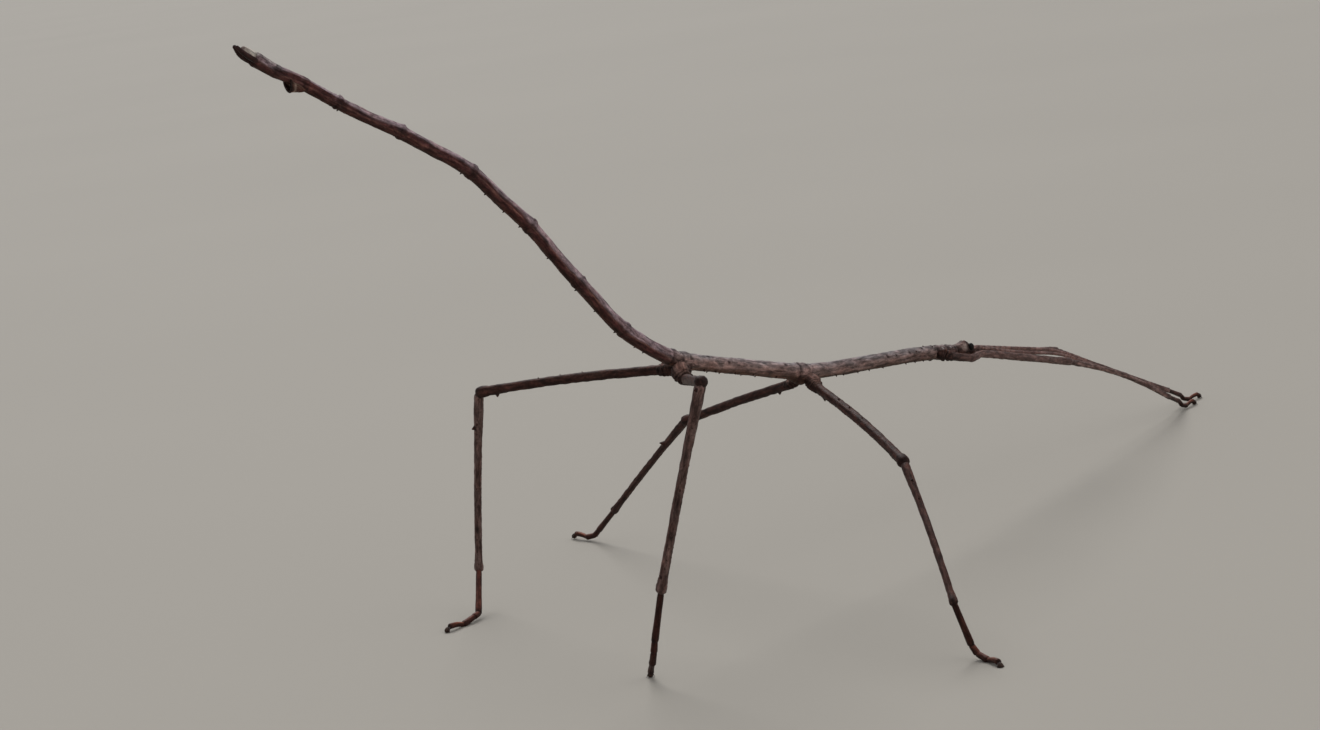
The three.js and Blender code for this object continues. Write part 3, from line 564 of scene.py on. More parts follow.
# legs: femur, tibia and each foot joint have a length, a heading and a rise
legSettings = {
    "hindLeft": {
        "root": (-1.3, 0.35, 25.1), "coxa": ((-1.5, 1.2, 25.08), 1.5, 1.12), "hip": (-1.66, 1.9, 24.97),
        "femur": (22.0, 99, -5.5), "femurBow": (0.05, 0, 0.24),
        "tibia": (20.6, 68, -68), "tibiaBow": (-0.07, 0.08, 0.02),
        "tarsus": [(5.5, -139.5, -36), (1.0, -161, -2), (1.6, -176, -11), (1.8, 179, 9), (0.8, 180, -37)],
    },
    "hindRight": {
        "root": (-1.3, -0.35, 25.1), "coxa": ((-2.09, -0.8, 24.96), 1.85, 1.25), "hip": (-2.42, -1.61, 24.36),
        "femur": (22.6, -132.5, 9.5), "femurBow": (0, 0, 0),
        "tibia": (21.6, 81.5, -63.5), "tibiaBow": (-0.04, 0.04, 0.02),
        "tarsus": [(5.3, 76, -65.5), (1.0, 109, -77), (1.6, 63, -54), (1.9, 55, -38), (0.8, 56, -39)],
    },
    "midLeft": {
        "root": (15.6, 0.35, 20.8), "coxa": ((15.1, 1.05, 20.2), 1.3, 1.0), "hip": (14.92, 1.7, 19.78),
        "femur": (18.1, 81, -16), "femurBow": (0.02, 0, 0.13),
        "tibia": (18.5, 80.5, -36.5), "tibiaBow": (-0.03, 0.05, 0.06),
        "tarsus": [(4.3, 79, -36), (0.9, 87, -39), (1.3, 88, -14), (1.8, 87, 7), (0.8, 87, -39)],
    },
    "midRight": {
        "root": (15.5, -0.35, 20.6), "coxa": ((15.25, -1.05, 20.0), 1.45, 1.06), "hip": (15.04, -1.71, 19.53),
        "femur": (17.8, -114.5, -15.5), "femurBow": (0.18, -0.13, 0.2),
        "tibia": (17.6, -129, -32.5), "tibiaBow": (0.09, -0.09, 0.02),
        "tarsus": [(4.3, -9, -71), (0.9, -91, -52), (1.4, -101, -16), (1.8, -112, 6), (0.8, -123, -36)],
    },
    "foreLeft": {
        "root": (35.0, 0.3, 18.45), "coxa": ((35.44, 0.85, 18.2), 1.2, 0.94), "hip": (35.8, 1.3, 18.0),
        "femur": (26.4, 8, -11.5), "femurBow": (0, 0, 0), "arch": (0.1, 0.14, 0.25),
        "tibia": (26.5, 7, -22.5), "tibiaBow": (0, 0, 0),
        "tarsus": [(4.0, 14, -21), (0.8, 5, -44), (1.1, -2, -16), (1.7, -4, 7), (0.6, -7, -47)],
    },
    "foreRight": {
        "root": (35.0, -0.3, 18.45), "coxa": ((35.44, -0.85, 18.2), 1.2, 0.94), "hip": (35.8, -1.3, 18.0),
        "femur": (25.0, 8, -14), "femurBow": (0, 0, 0),
        "arch": (0.44, 0.14, 0.25),  # height, and the two places between which it rises
        "tibia": (25.0, 9, -22), "tibiaBow": (0.12, 0, 0.6),
        "tarsus": [(4.0, 19, -20), (0.8, 8, -46), (1.1, 6, -17), (1.7, 6, 6), (0.6, 2, -47)],
    },
}
sizeNames = ("femur", "knee", "tibiaTop", "tibia", "tibiaEnd", "foot", "swing")
legSizes = {
    pair: dict(zip(sizeNames, sizes)) for pair, sizes in (
        ("hind", (0.94, 1.18, 1.0, 0.76, 0.98, 0.64, 0)),
        ("mid", (0.92, 1.18, 0.86, 0.66, 0.84, 0.62, 0)),
        ("fore", (0.82, 0.9, 0.66, 0.54, 0.62, 0.52, 0.42)),
    )
}
legCoats = {
    "top": (66, 41, 34), "flank": (66, 40, 34), "below": (46, 27, 23), "joint": (34, 21, 19),
    "paleBand": (104, 76, 66), "coxaTop": (118, 94, 86), "coxaBelow": (50, 33, 29), "wash": (160, 134, 128),
    # of coxa and femur, of tibia
    "washShares": {"hind": (0.02, 0.26), "mid": (0.0, 0.05), "fore": (0.3, 0.34)},
}
footSettings = {
    "top": (92, 52, 42), "lastTop": (118, 68, 50), "below": (56, 32, 27), "joint": (34, 21, 19),
    "padRadius": 0.27, "padColour": (72, 56, 48), "lastArch": 0.1,
}


def legPoints(leg):
    hip = np.array(leg["hip"])
    knee = hip + wayOf(*leg["femur"][1:]) * leg["femur"][0]
    ankle = knee + wayOf(*leg["tibia"][1:]) * leg["tibia"][0]
    foot = [ankle]
    for length, heading, rise in leg["tarsus"]:
        foot.append(foot[-1] + wayOf(heading, rise) * length)
    return np.array(leg["root"]), hip, knee, ankle, foot


def limbPart(
    start, end, profile, size, bowAt, ridges, coat, *, corners, rough, spacing, startRound, endRound,
):
    tangent = unit(end - start)
    length = np.linalg.norm(end - start)
    along, drawnIn = ringRun(length, spacing, startRound, endRound)
    place = along / length
    centres = start + tangent * along[:, None] + bowAt(place)
    side, top = uprightFrame(tangent)
    evened = np.convolve(
        np.pad(profileAt(place, profile, size), 1, mode="edge"), np.array([0.25, 0.5, 0.25]), mode="valid",
    )
    turn = wrapped(ringTurns(corners))
    around = (along[:, None], place[:, None], turn)
    half = (evened[:, None] / 2 + ridges(*around)) * drawnIn[:, None]
    return tubePart(centres, side, top, half, half, along, coat(*around), rough)


def bowed(place, by):
    return np.sin(math.pi * np.clip(place, 0, 1))[:, None] * np.array(by)


def edged(turn, upper, lower):
    spread = np.abs(turn)
    return hump(spread, upper, 0.2) + hump(spread, lower, 0.2) - hump(spread, 1.57, 0.4)


def footPart(start, end, number, footSize, seed):
    s = footSettings
    last = number == 3
    profile = (
        [(0, 0.8), (0.25, 0.82), (0.7, 0.92), (1, 1.0)] if last
        else [(0, 0.8), (0.15, 0.88), (0.6, 0.9), (0.86, 1.0), (1, 0.96)]
    )

    def coat(along, place, turn):
        ends = np.clip(hump(place, 1, 0.1) + hump(place, 0, 0.06), 0, 1)
        return painted(
            linear(s["lastTop" if last else "top"]), s,
            ("below", easeBetween(0.7, 1.7, np.abs(turn)) + 0 * place), ("joint", 0.85 * ends + 0 * turn),
        )

    def ridges(along, place, turn):
        sole = -0.03 * hump(np.abs(turn), math.pi, 0.3) * easeBetween(0.5, 0.9, place)
        return noisy(sole, turn, along, (0.008, 4, 3, seed + number))

    def bow(place):
        return bowed(place, worldUp * (s["lastArch"] if last else 0.0))

    way = unit(end - start)
    return limbPart(
        start - way * 0.08, end + way * 0.1, profile, footSize * (0.94 if last else 1.06), bow, ridges, coat,
        corners=16, rough=0.42, spacing=0.12, startRound=0.14, endRound=0.2,
    )


def padPart(foot):
    s = footSettings
    middle = foot[4] * 0.5 + foot[5] * 0.5
    way = unit(foot[5] - foot[4])

    def coat(along, place, turn):
        return painted(linear(s["padColour"]), s, ("joint", 0.35 + 0 * place + 0 * turn))

    return limbPart(
        middle - way * 0.34, middle + way * 0.3, [(0, 0.8), (0.5, 1.1), (1, 1.0)], s["padRadius"] * 1.8,
        lambda place: bowed(place, (0, 0, 0)), lambda along, place, turn: 0 * place + 0 * turn, coat,
        corners=14, rough=0.5, spacing=0.07, startRound=0.16, endRound=0.2,
    )


def legParts(name, leg):
    c = legCoats
    pair = next(pair for pair in legSizes if name.startswith(pair))
    outward = 1 if name.endswith("Left") else -1
    size = legSizes[pair]
    seed = 70 + 9 * list(legSettings).index(name)
    root, hip, knee, ankle, foot = legPoints(leg)
    femurWay, tibiaWay = unit(knee - hip), unit(ankle - knee)
    femurWash, tibiaWash = c["washShares"][pair]

    def femurBow(place):
        swing = size["swing"] * hump(place, 0.13, 0.1)[:, None] * np.array([0, outward, -0.25])
        archHeight, archFrom, archTo = leg.get("arch", (0, 0, 0.5))
        settled = np.minimum(1, (1 - place) / (1 - archTo))
        rise = (archHeight * easeBetween(archFrom, archTo, place) * settled)[:, None] * worldUp
        return bowed(place, leg["femurBow"]) + swing + rise

    def tibiaBow(place):
        return bowed(place, leg["tibiaBow"])

    def limbCoat(along, place, turn):
        spread = noisy(np.abs(turn), turn, along, (0.25, 1.6, 0.6, seed))
        pale = easeBetween(0.35, 0.8, aroundNoise(turn, along, 0.8, 0.32, seed + 1))
        ends = np.clip(hump(place, 0, 0.03) + hump(place, 1, 0.045), 0, 1)
        return painted(
            linear(c["top"]), c,
            ("flank", easeBetween(0.5, 1.3, spread)), ("below", easeBetween(1.5, 2.3, spread)),
            ("paleBand", 0.3 * pale), ("joint", 0.75 * ends + 0 * turn),
        )

    def femurCoat(along, place, turn):
        paler = femurWash * (0.35 + 0.65 * easeBetween(0.02, 0.2, place))
        return painted(limbCoat(along, place, turn), c, ("wash", paler + 0 * turn))

    def tibiaCoat(along, place, turn):
        paler = np.clip(tibiaWash * (1 + 0.8 * aroundNoise(turn, along, 2.2, 0.7, seed + 8)), 0, 1)
        return painted(limbCoat(along, place, turn), c, ("wash", paler))

    def femurRidges(along, place, turn):
        relief = noisy(
            0.03 * size["femur"] * edged(turn, 0.62, 2.45), turn, along,
            (0.036, 1.8, 1.6, seed + 2), (0.024, 3.5, 3.5, seed + 3),
        )
        relief = humped(relief, place, (-0.04, 0.925, 0.008))
        lobe = 0.05 * hump(np.abs(turn), 1.57, 0.5) * hump(place, 0.97, 0.02)
        return relief + lobe - 0.06 * hump(np.abs(turn), math.pi, 0.35) * easeBetween(0.93, 0.97, place)

    def tibiaRidges(along, place, turn):
        relief = noisy(
            0.035 * size["tibia"] * edged(turn, 0.7, 2.4), turn, along,
            (0.028, 1.8, 1.6, seed + 4), (0.018, 3.5, 3.5, seed + 5),
        )
        return humped(relief, place, (-0.035, 0.955, 0.006), (-0.03, 0.05, 0.006))

    kneeShare = size["knee"] / size["femur"]
    femurProfile = [
        (0, 1.04), (0.04, 1.02), (0.1, 0.98), (0.34, 0.98), (0.84, 0.93), (0.92, 1.06), (0.965, kneeShare),
        (1, kneeShare * 0.88),
    ]
    femur = limbPart(
        hip - femurWay * 0.1, knee + femurWay * (0.2 + 0.12), femurProfile, size["femur"], femurBow,
        femurRidges, femurCoat, corners=20, rough=0.5, spacing=0.2, startRound=0.15,
        endRound=size["knee"] * 0.4,
    )
    top, end = size["tibiaTop"] / size["tibia"], size["tibiaEnd"] / size["tibia"]
    tibiaProfile = [
        (0, top * 0.86), (0.03, top), (0.08, top * 0.97), (0.3, 1.02), (0.92, 0.98), (0.965, end * 0.97),
        (0.99, end), (1, end * 0.93),
    ]
    tibia = limbPart(
        knee, ankle + tibiaWay * 0.02, tibiaProfile, size["tibia"], tibiaBow, tibiaRidges, tibiaCoat,
        corners=18, rough=0.48, spacing=0.2, startRound=size["tibiaTop"] * 0.4, endRound=0.16,
    )

    middle, coxaGirth, hipGirth = leg["coxa"]
    coxaPath = [root, np.array(middle), hip, hip + femurWay * 0.5]
    coxaSteps = [np.linalg.norm(b - a) for a, b in zip(coxaPath, coxaPath[1:])]
    coxaReach = sum(coxaSteps)
    hipPlace = sum(coxaSteps[:2])

    def coxaRidges(along, turn):
        # a dark pinched line at the trochanter, wrinkles round the coxa and lumps all over
        wander = 0.1 * aroundNoise(turn, along * 0, 1.2, 1, seed + 9)
        relief = humped(
            0, along, (0.05, hipPlace - 0.1 + wander, 0.16), (-0.06, hipPlace + 0.1 + wander, 0.09),
            (0.06, hipPlace - 0.62 - wander, 0.12), (-0.06, hipPlace - 0.36 - wander, 0.07),
        )
        folds = 0.04 * np.cos(5 * turn + seed) * hump(along, hipPlace - 0.5, 0.7)
        wrinkles = np.cos(2 * math.pi * along / 0.25 + 2 * wander)
        folds = folds - 0.035 * wrinkles * hump(along, hipPlace - 0.4, 0.45)
        return noisy(relief + folds, turn, along, (0.07, 1.5, 1.4, seed + 6), (0.04, 4, 4, seed + 7))

    def coxaCoat(along, turn):
        spread = noisy(np.abs(wrapped(turn)), turn, along, (0.5, 2, 1.5, seed + 8))
        ringed = np.cos(2 * math.pi * noisy(along, turn, along, (0.1, 1.6, 1, seed + 2)) / 0.25)
        nearHip = hump(along, hipPlace - 0.3, 0.5)
        pale = 0.6 * easeBetween(0.2, 0.9, -ringed) * nearHip * easeBetween(2.4, 1.2, spread)
        dark = 0.7 * hump(along, hipPlace + 0.1, 0.11) + hump(along, coxaReach, 0.15)
        return painted(
            linear(c["top" if pair == "fore" else "coxaTop"]), c,
            ("coxaBelow", easeBetween(0.5, 1.5, spread)),
            ("joint", 0.85 * easeBetween(0.1, 0.8, ringed) * nearHip), ("paleBand", pale),
            ("joint", np.clip(0.85 * dark, 0, 1) + 0 * turn),
        )

    girths = [
        (0, coxaGirth * 0.8), (coxaSteps[0] / coxaReach, coxaGirth * 0.98), (hipPlace / coxaReach, hipGirth),
        (1, hipGirth * 0.9),
    ]
    heel = ankle - tibiaWay * 0.2
    spots = [heel, *foot[1:5]]
    tarsus = [footPart(spots[number], spots[number + 1], number, size["foot"], seed) for number in range(4)]
    return {
        "coxa": slimPart(
            coxaPath, girths, coxaCoat, coxaRidges, corners=36, spacing=0.07, rough=0.55, startRound=0.2,
            endRound=0.18,
        ),
        "femur": femur, "tibia": tibia, "odd": [*tarsus[::2], padPart(foot)], "even": tarsus[1::2],
        "size": size, "bows": (femurBow, tibiaBow), "profiles": (femurProfile, tibiaProfile),
    }


# tail end
tailSettings = {
    "cupDepth": 0.85, "cupFrontDepth": 0.22, "cupWidth": 1.03, "cupSlant": 0.85, "cupLength": 2.28,
    "cupWall": 0.15, "cupCorners": 40,
    "cupTop": (120, 98, 84), "cupBelow": (74, 48, 42), "cupRim": (40, 26, 24), "cupStripe": (150, 130, 118),
    "cercusThickness": 0.48, "cercusTip": 0.3, "cercusSpread": 0.34, "cercusColour": (58, 38, 36),
    "plateColour": (196, 188, 178), "plateEdge": (120, 104, 98),
}
segmentNine = abdomenStart + 7
segmentTen = abdomenStart + 8


def tailPoint(station, along, aside, below):
    centre, tangent, side, top = trunkSpot(station)
    return centre + tangent * along + side * aside - top * below


def cupPart():
    s = tailSettings
    _, tangent, side, top = trunkSpot(segmentNine + 0.3)
    turn = ringTurns(s["cupCorners"])
    outer = np.linspace(0, 1, 34)
    inner = outer[:6:-1]
    places = np.concatenate([outer, [1.0, 1.0], inner])
    inset = np.concatenate([0 * outer, [0.3 * s["cupWall"], 0.75 * s["cupWall"]], 0 * inner + s["cupWall"]])
    p, inset = places[:, None], inset[:, None]
    depth = s["cupFrontDepth"] + (s["cupDepth"] - s["cupFrontDepth"]) * p - inset
    halfTop = noisy(depth, turn, p * 2.3, (0.03, 2, 2, 91)) + 0.04 * hump(p, 0.93, 0.05) * (inset < 0.01)
    halfSide = s["cupWidth"] / 2 * (0.72 + 0.28 * p) - inset
    halfSide = noisy(halfSide, turn, p * 2.3, (0.02, 2, 2, 92))
    start, nineWay, _, nineTop = trunkSpot(segmentNine)
    centres = start + nineWay * (-0.45 + s["cupLength"] * p) - nineTop * 0.38
    slant = (-s["cupSlant"] * p * (1 - (1 + np.cos(turn)) / 2))[..., None] * tangent
    coat = painted(
        linear(s["cupTop"]), s,
        ("cupBelow", easeBetween(0.8, 2.2, np.abs(wrapped(turn))) + 0 * p),
        ("cupStripe", 0.7 * hump(p, 0.72, 0.07) + 0 * turn),
        ("cupRim", 0.9 * easeBetween(0.84, 0.95, p) + 0 * turn),
    )
    halfSide, halfTop = np.maximum(halfSide, 0.03), np.maximum(halfTop, 0.03)
    return tubePart(centres, side, top, halfSide, halfTop, places * 2.3, coat, 0.5, slant)


def cercusPart(sideSign):
    s = tailSettings
    tipAlong, tipBelow = (2.05, 0.1) if sideSign > 0 else (1.9, -0.1)
    path = [
        tailPoint(segmentTen, 1.5, sideSign * 0.2, 0.12),
        tailPoint(segmentTen + 1, 0.1, sideSign * (s["cercusSpread"] + 0.06), 0.2),
        tailPoint(segmentTen + 1, 1.0, sideSign * s["cercusSpread"], 0.22),
        tailPoint(segmentTen + 1, tipAlong, sideSign * 0.28, tipBelow),
    ]

    def ridges(along, turn):
        return noisy(0, turn, along, (0.012, 3, 4, 95))

    thickness = s["cercusThickness"]
    girths = [(0, thickness), (0.5, thickness * 0.92), (0.85, thickness * 0.76), (1, s["cercusTip"])]
    return slimPart(
        path, girths, linear(s["cercusColour"]), ridges, corners=14, spacing=0.09, rough=0.42,
        startRound=0.1, endRound=0.14,
    )


def platePart():
    s = tailSettings
    path = [tailPoint(segmentTen + 1, along, 0, -0.17) for along in (-0.12, 0.5, 1.0, 1.34)]

    def ridges(along, turn):
        return noisy(0.03 * hump(np.abs(wrapped(turn)), 0, 0.25), turn, along, (0.012, 4, 3, 97))

    def coat(along, turn):
        ends = np.clip(hump(along, 1.45, 0.2) + hump(along, 0, 0.2), 0, 1)
        return painted(linear(s["plateColour"]), s, ("plateEdge", ends + 0 * turn))

    girths = [(0, 0.76), (0.4, 0.72), (0.75, 0.6), (1, 0.4)]
    return slimPart(
        path, girths, coat, ridges, corners=28, spacing=0.05, rough=0.55, startRound=0.08, endRound=0.17,
    )


# node trees: the same helpers for geometry and shaders
def addNode(tree, kind, inputs=None, **values):
    made = tree.nodes.new(kind)
    for key, value in values.items():
        setattr(made, key, value)
    for key, value in (inputs or {}).items():
        if isinstance(value, bpy.types.NodeSocket):
            tree.links.new(value, made.inputs[key])
        else:
            made.inputs[key].default_value = value
    return made


def outOf(tree, kind, inputs=None, out=0, **values):
    return addNode(tree, kind, inputs, **values).outputs[out]


def calc(tree, operation, *inputs):
    return outOf(tree, "ShaderNodeMath", dict(enumerate(inputs)), operation=operation)


def joined(tree, x=0.0, y=0.0, z=0.0):
    return outOf(tree, "ShaderNodeCombineXYZ", {"X": x, "Y": y, "Z": z})


def scaledBetween(tree, value, low, high, toLow, toHigh):
    inputs = {"Value": value, "From Min": low, "From Max": high, "To Min": toLow, "To Max": toHigh}
    return outOf(tree, "ShaderNodeMapRange", inputs)


def carried(tree, label, kind="FLOAT_VECTOR"):
    return outOf(tree, "GeometryNodeInputNamedAttribute", {"Name": label}, "Attribute", data_type=kind)


def growTree(name, sizes):
    tree = bpy.data.node_groups.new(name, "GeometryNodeTree")
    for way in ("INPUT", "OUTPUT"):
        tree.interface.new_socket("Geometry", in_out=way, socket_type="NodeSocketGeometry")
    for label, value in sizes.items():
        kind = "NodeSocketInt" if isinstance(value, int) else "NodeSocketFloat"
        tree.interface.new_socket(label, in_out="INPUT", socket_type=kind).default_value = value
    tree.interface.new_socket("Finish", in_out="INPUT", socket_type="NodeSocketMaterial")
    return tree, addNode(tree, "NodeGroupInput").outputs


def growOnPoints(tree, given, points, inputs):
    # sets the shape on every point, makes it real and gives it its finish
    placed = outOf(tree, "GeometryNodeInstanceOnPoints", {"Points": points, **inputs})
    real = outOf(tree, "GeometryNodeRealizeInstances", {"Geometry": placed})
    done = outOf(tree, "GeometryNodeSetMaterial", {"Geometry": real, "Material": given["Finish"]})
    tree.links.new(done, addNode(tree, "NodeGroupOutput").inputs[0])
    return tree


def runTree(name, carrier, tree, values):
    grown = carrier.modifiers.new("grown", "NODES")
    grown.node_group = tree
    for item in tree.interface.items_tree:
        if item.in_out == "INPUT" and item.name in values:
            grown[item.identifier] = values[item.name]
    depsgraph = bpy.context.evaluated_depsgraph_get()
    mesh = bpy.data.meshes.new_from_object(
        carrier.evaluated_get(depsgraph), preserve_all_data_layers=True, depsgraph=depsgraph,
    )
    carrier.modifiers.remove(grown)
    return placeObject(name, mesh)


def setAttribute(mesh, label, kind, values):
    field = {"FLOAT": "value", "FLOAT_VECTOR": "vector", "FLOAT_COLOR": "color"}[kind]
    made = mesh.attributes.new(label, kind, "POINT")
    made.data.foreach_set(field, np.array(values, np.float32).ravel())


def wearCoat(mesh, lie, coat, rough):
    setAttribute(mesh, "lie", "FLOAT_VECTOR", lie)
    setAttribute(mesh, "coat", "FLOAT_COLOR", np.hstack([coat, np.ones((len(coat), 1))]))
    setAttribute(mesh, "dullness", "FLOAT", rough)


def pointCloud(name, spots, attributes):
    mesh = bpy.data.meshes.new(name)
    mesh.from_pydata(((np.array(spots) + originShift) * mm).tolist(), [], [])
    for label, values in attributes.items():
        setAttribute(mesh, label, "FLOAT_VECTOR", values)
    return placeObject(name, mesh)


def dropObject(made):
    mesh = made.data
    bpy.data.objects.remove(made)
    bpy.data.meshes.remove(mesh)


def turnTo(outward, towards):
    # Euler turn whose Z points outward and whose X leans towards a given way
    z = Vector(unit(outward))
    y = z.cross(Vector(towards)).normalized()
    return Matrix((y.cross(z), y, z)).transposed().to_euler()


# finishes
def newFinish(name):
    finish = bpy.data.materials.new(name)
    finish.use_nodes = True
    return finish, finish.node_tree, finish.node_tree.nodes["Principled BSDF"]


def barkFinish():
    finish, tree, shader = newFinish("barkSkin")

    def attribute(label, out):
        return outOf(tree, "ShaderNodeAttribute", out=out, attribute_name=label)

    def drawnOut(share):
        inputs = {"Vector": attribute("lie", "Vector"), "Scale": (1, 1, share)}
        return outOf(tree, "ShaderNodeMapping", inputs)

    def noise(vector, scale, detail, rough, distortion=0.0):
        return outOf(tree, "ShaderNodeTexNoise", {
            "Vector": vector, "Scale": scale, "Detail": detail, "Roughness": rough, "Distortion": distortion,
        })

    def times(colour, share):
        return outOf(tree, "ShaderNodeVectorMath", {0: colour, "Scale": share}, operation="SCALE")

    coat = attribute("coat", "Color")
    longer, shorter = drawnOut(0.2), drawnOut(0.45)
    streak = noise(longer, 3.4, 5, 0.62)
    fine = noise(shorter, 12, 4, 0.6)
    blotch = noise(shorter, 1.3, 3, 0.55)
    patch = noise(shorter, 1.9, 4, 0.68, 0.6)
    redder = outOf(tree, "ShaderNodeVectorMath", {0: coat, 1: (1.12, 0.88, 0.82)}, operation="MULTIPLY")
    warm = scaledBetween(tree, blotch, 0.42, 0.62, 0, 0.5)
    warmed = outOf(tree, "ShaderNodeMix", {0: warm, 6: coat, 7: redder}, 2, data_type="RGBA")
    shade = scaledBetween(tree, streak, 0.34, 0.68, 0.42, 1.6)
    patched = scaledBetween(tree, patch, 0.4, 0.6, 0.6, 1.26)
    streaked = times(warmed, calc(tree, "MULTIPLY", shade, patched))
    grained = times(streaked, scaledBetween(tree, fine, 0.36, 0.64, 0.78, 1.22))
    tree.links.new(grained, shader.inputs["Base Color"])
    gloss = scaledBetween(tree, fine, 0.3, 0.7, -0.1, 0.12)
    dullness = calc(tree, "ADD", attribute("dullness", "Fac"), gloss)
    tree.links.new(dullness, shader.inputs["Roughness"])
    height = calc(tree, "MULTIPLY_ADD", streak, 0.7, fine)
    bump = outOf(tree, "ShaderNodeBump", {"Height": height, "Strength": 0.7, "Distance": 0.00005}, "Normal")
    tree.links.new(bump, shader.inputs["Normal"])
    shader.inputs["Specular IOR Level"].default_value = 0.1
    return finish


def cloudyFinish(name, scale, detail, stops, roughness=None, specular=None, relief=0.0):
    # two colours mixed by a noise, which may also vary the gloss and raise a fine relief
    finish, tree, shader = newFinish(name)
    spot = outOf(tree, "ShaderNodeTexCoord", out="Object")
    cloud = outOf(tree, "ShaderNodeTexNoise", {"Vector": spot, "Scale": scale, "Detail": detail})
    ramp = addNode(tree, "ShaderNodeValToRGB", {"Fac": cloud})
    for element, (position, colour) in zip(ramp.color_ramp.elements, stops):
        element.position = position
        element.color = (*colour, 1)
    tree.links.new(ramp.outputs["Color"], shader.inputs["Base Color"])
    if roughness:
        tree.links.new(scaledBetween(tree, cloud, 0.3, 0.7, *roughness), shader.inputs["Roughness"])
    if specular is not None:
        shader.inputs["Specular IOR Level"].default_value = specular
    if relief:
        raised = {"Height": cloud, "Strength": 0.3, "Distance": relief}
        bump = outOf(tree, "ShaderNodeBump", raised, "Normal")
        tree.links.new(bump, shader.inputs["Normal"])
    return finish


def eyeFinish():
    stops = ((0.38, linear((13, 10, 10))), (0.66, linear((34, 24, 21))))
    return cloudyFinish("eyeLens", 2600, 2, stops, (0.34, 0.5), 0.16)


def clawFinish():
    stops = ((0.35, linear((26, 17, 15))), (0.7, linear((70, 44, 34))))
    return cloudyFinish("clawHorn", 5200, 3, stops, (0.22, 0.38), relief=0.00001)


def floorFinish():
    base = linear(stageSettings["floorColour"])
    finish = cloudyFinish("paleFloor", 9, 2, ((0, base * 0.97), (1, base * 1.03)), specular=0.25)
    finish.node_tree.nodes["Principled BSDF"].inputs["Roughness"].default_value = 0.75
    return finish


# camera, floor and lights
stageSettings = {
    "cameraSpot": (-212.724, -188.426, 72.995),
    "heading": -45.159, "lookDown": 10.197, "roll": -7.739,
    "focalPixels": 2935.57, "imageWidth": 1320, "sensorWidth": 36, "nearest": 0.005, "farthest": 60,
    "floorColour": (172, 166, 156), "floorReach": 9.0, "skyColour": (226, 228, 232), "skyStrength": 0.52,
    # compass heading and height of the light, degrees
    "backLight": {"from": (52, 46), "softness": 34, "power": 1.5},
    "fillLight": {"from": (-68, 30), "softness": 60, "power": 0.55},
}
camera = placeObject("camera", bpy.data.cameras.new("camera"))
camera.data.sensor_width = stageSettings["sensorWidth"]
camera.data.lens = stageSettings["focalPixels"] * stageSettings["sensorWidth"] / stageSettings["imageWidth"]
camera.data.clip_start = stageSettings["nearest"]
camera.data.clip_end = stageSettings["farthest"]
camera.matrix_world = (
    Matrix.Translation(Vector(stageSettings["cameraSpot"]) * mm)
    @ Matrix.Rotation(math.radians(stageSettings["heading"]), 4, "Z")
    @ Matrix.Rotation(math.radians(90 - stageSettings["lookDown"]), 4, "X")
    @ Matrix.Rotation(math.radians(stageSettings["roll"]), 4, "Z")
)
bpy.context.scene.camera = camera
bpy.context.scene.view_settings.view_transform = "Standard"

reach = stageSettings["floorReach"]
floorMesh = bpy.data.meshes.new("floor")
floorMesh.from_pydata(
    [(-reach, -reach, 0), (reach, -reach, 0), (reach, reach, 0), (-reach, reach, 0)], [], [(0, 1, 2, 3)],
)
floor = placeObject("floor", floorMesh)
floor.data.materials.append(floorFinish())

for label in ("backLight", "fillLight"):
    values = stageSettings[label]
    lamp = placeObject(label, bpy.data.lights.new(label, "SUN"))
    lamp.data.angle = math.radians(values["softness"])
    lamp.data.energy = values["power"]
    lamp.rotation_euler = (-Vector(wayOf(*values["from"]))).to_track_quat("-Z", "Y").to_euler()
sky = bpy.data.worlds.new("studio")
sky.use_nodes = True
sky.node_tree.nodes["Background"].inputs["Color"].default_value = (*linear(stageSettings["skyColour"]), 1)
sky.node_tree.nodes["Background"].inputs["Strength"].default_value = stageSettings["skyStrength"]
bpy.context.scene.world = sky
print("stage set")

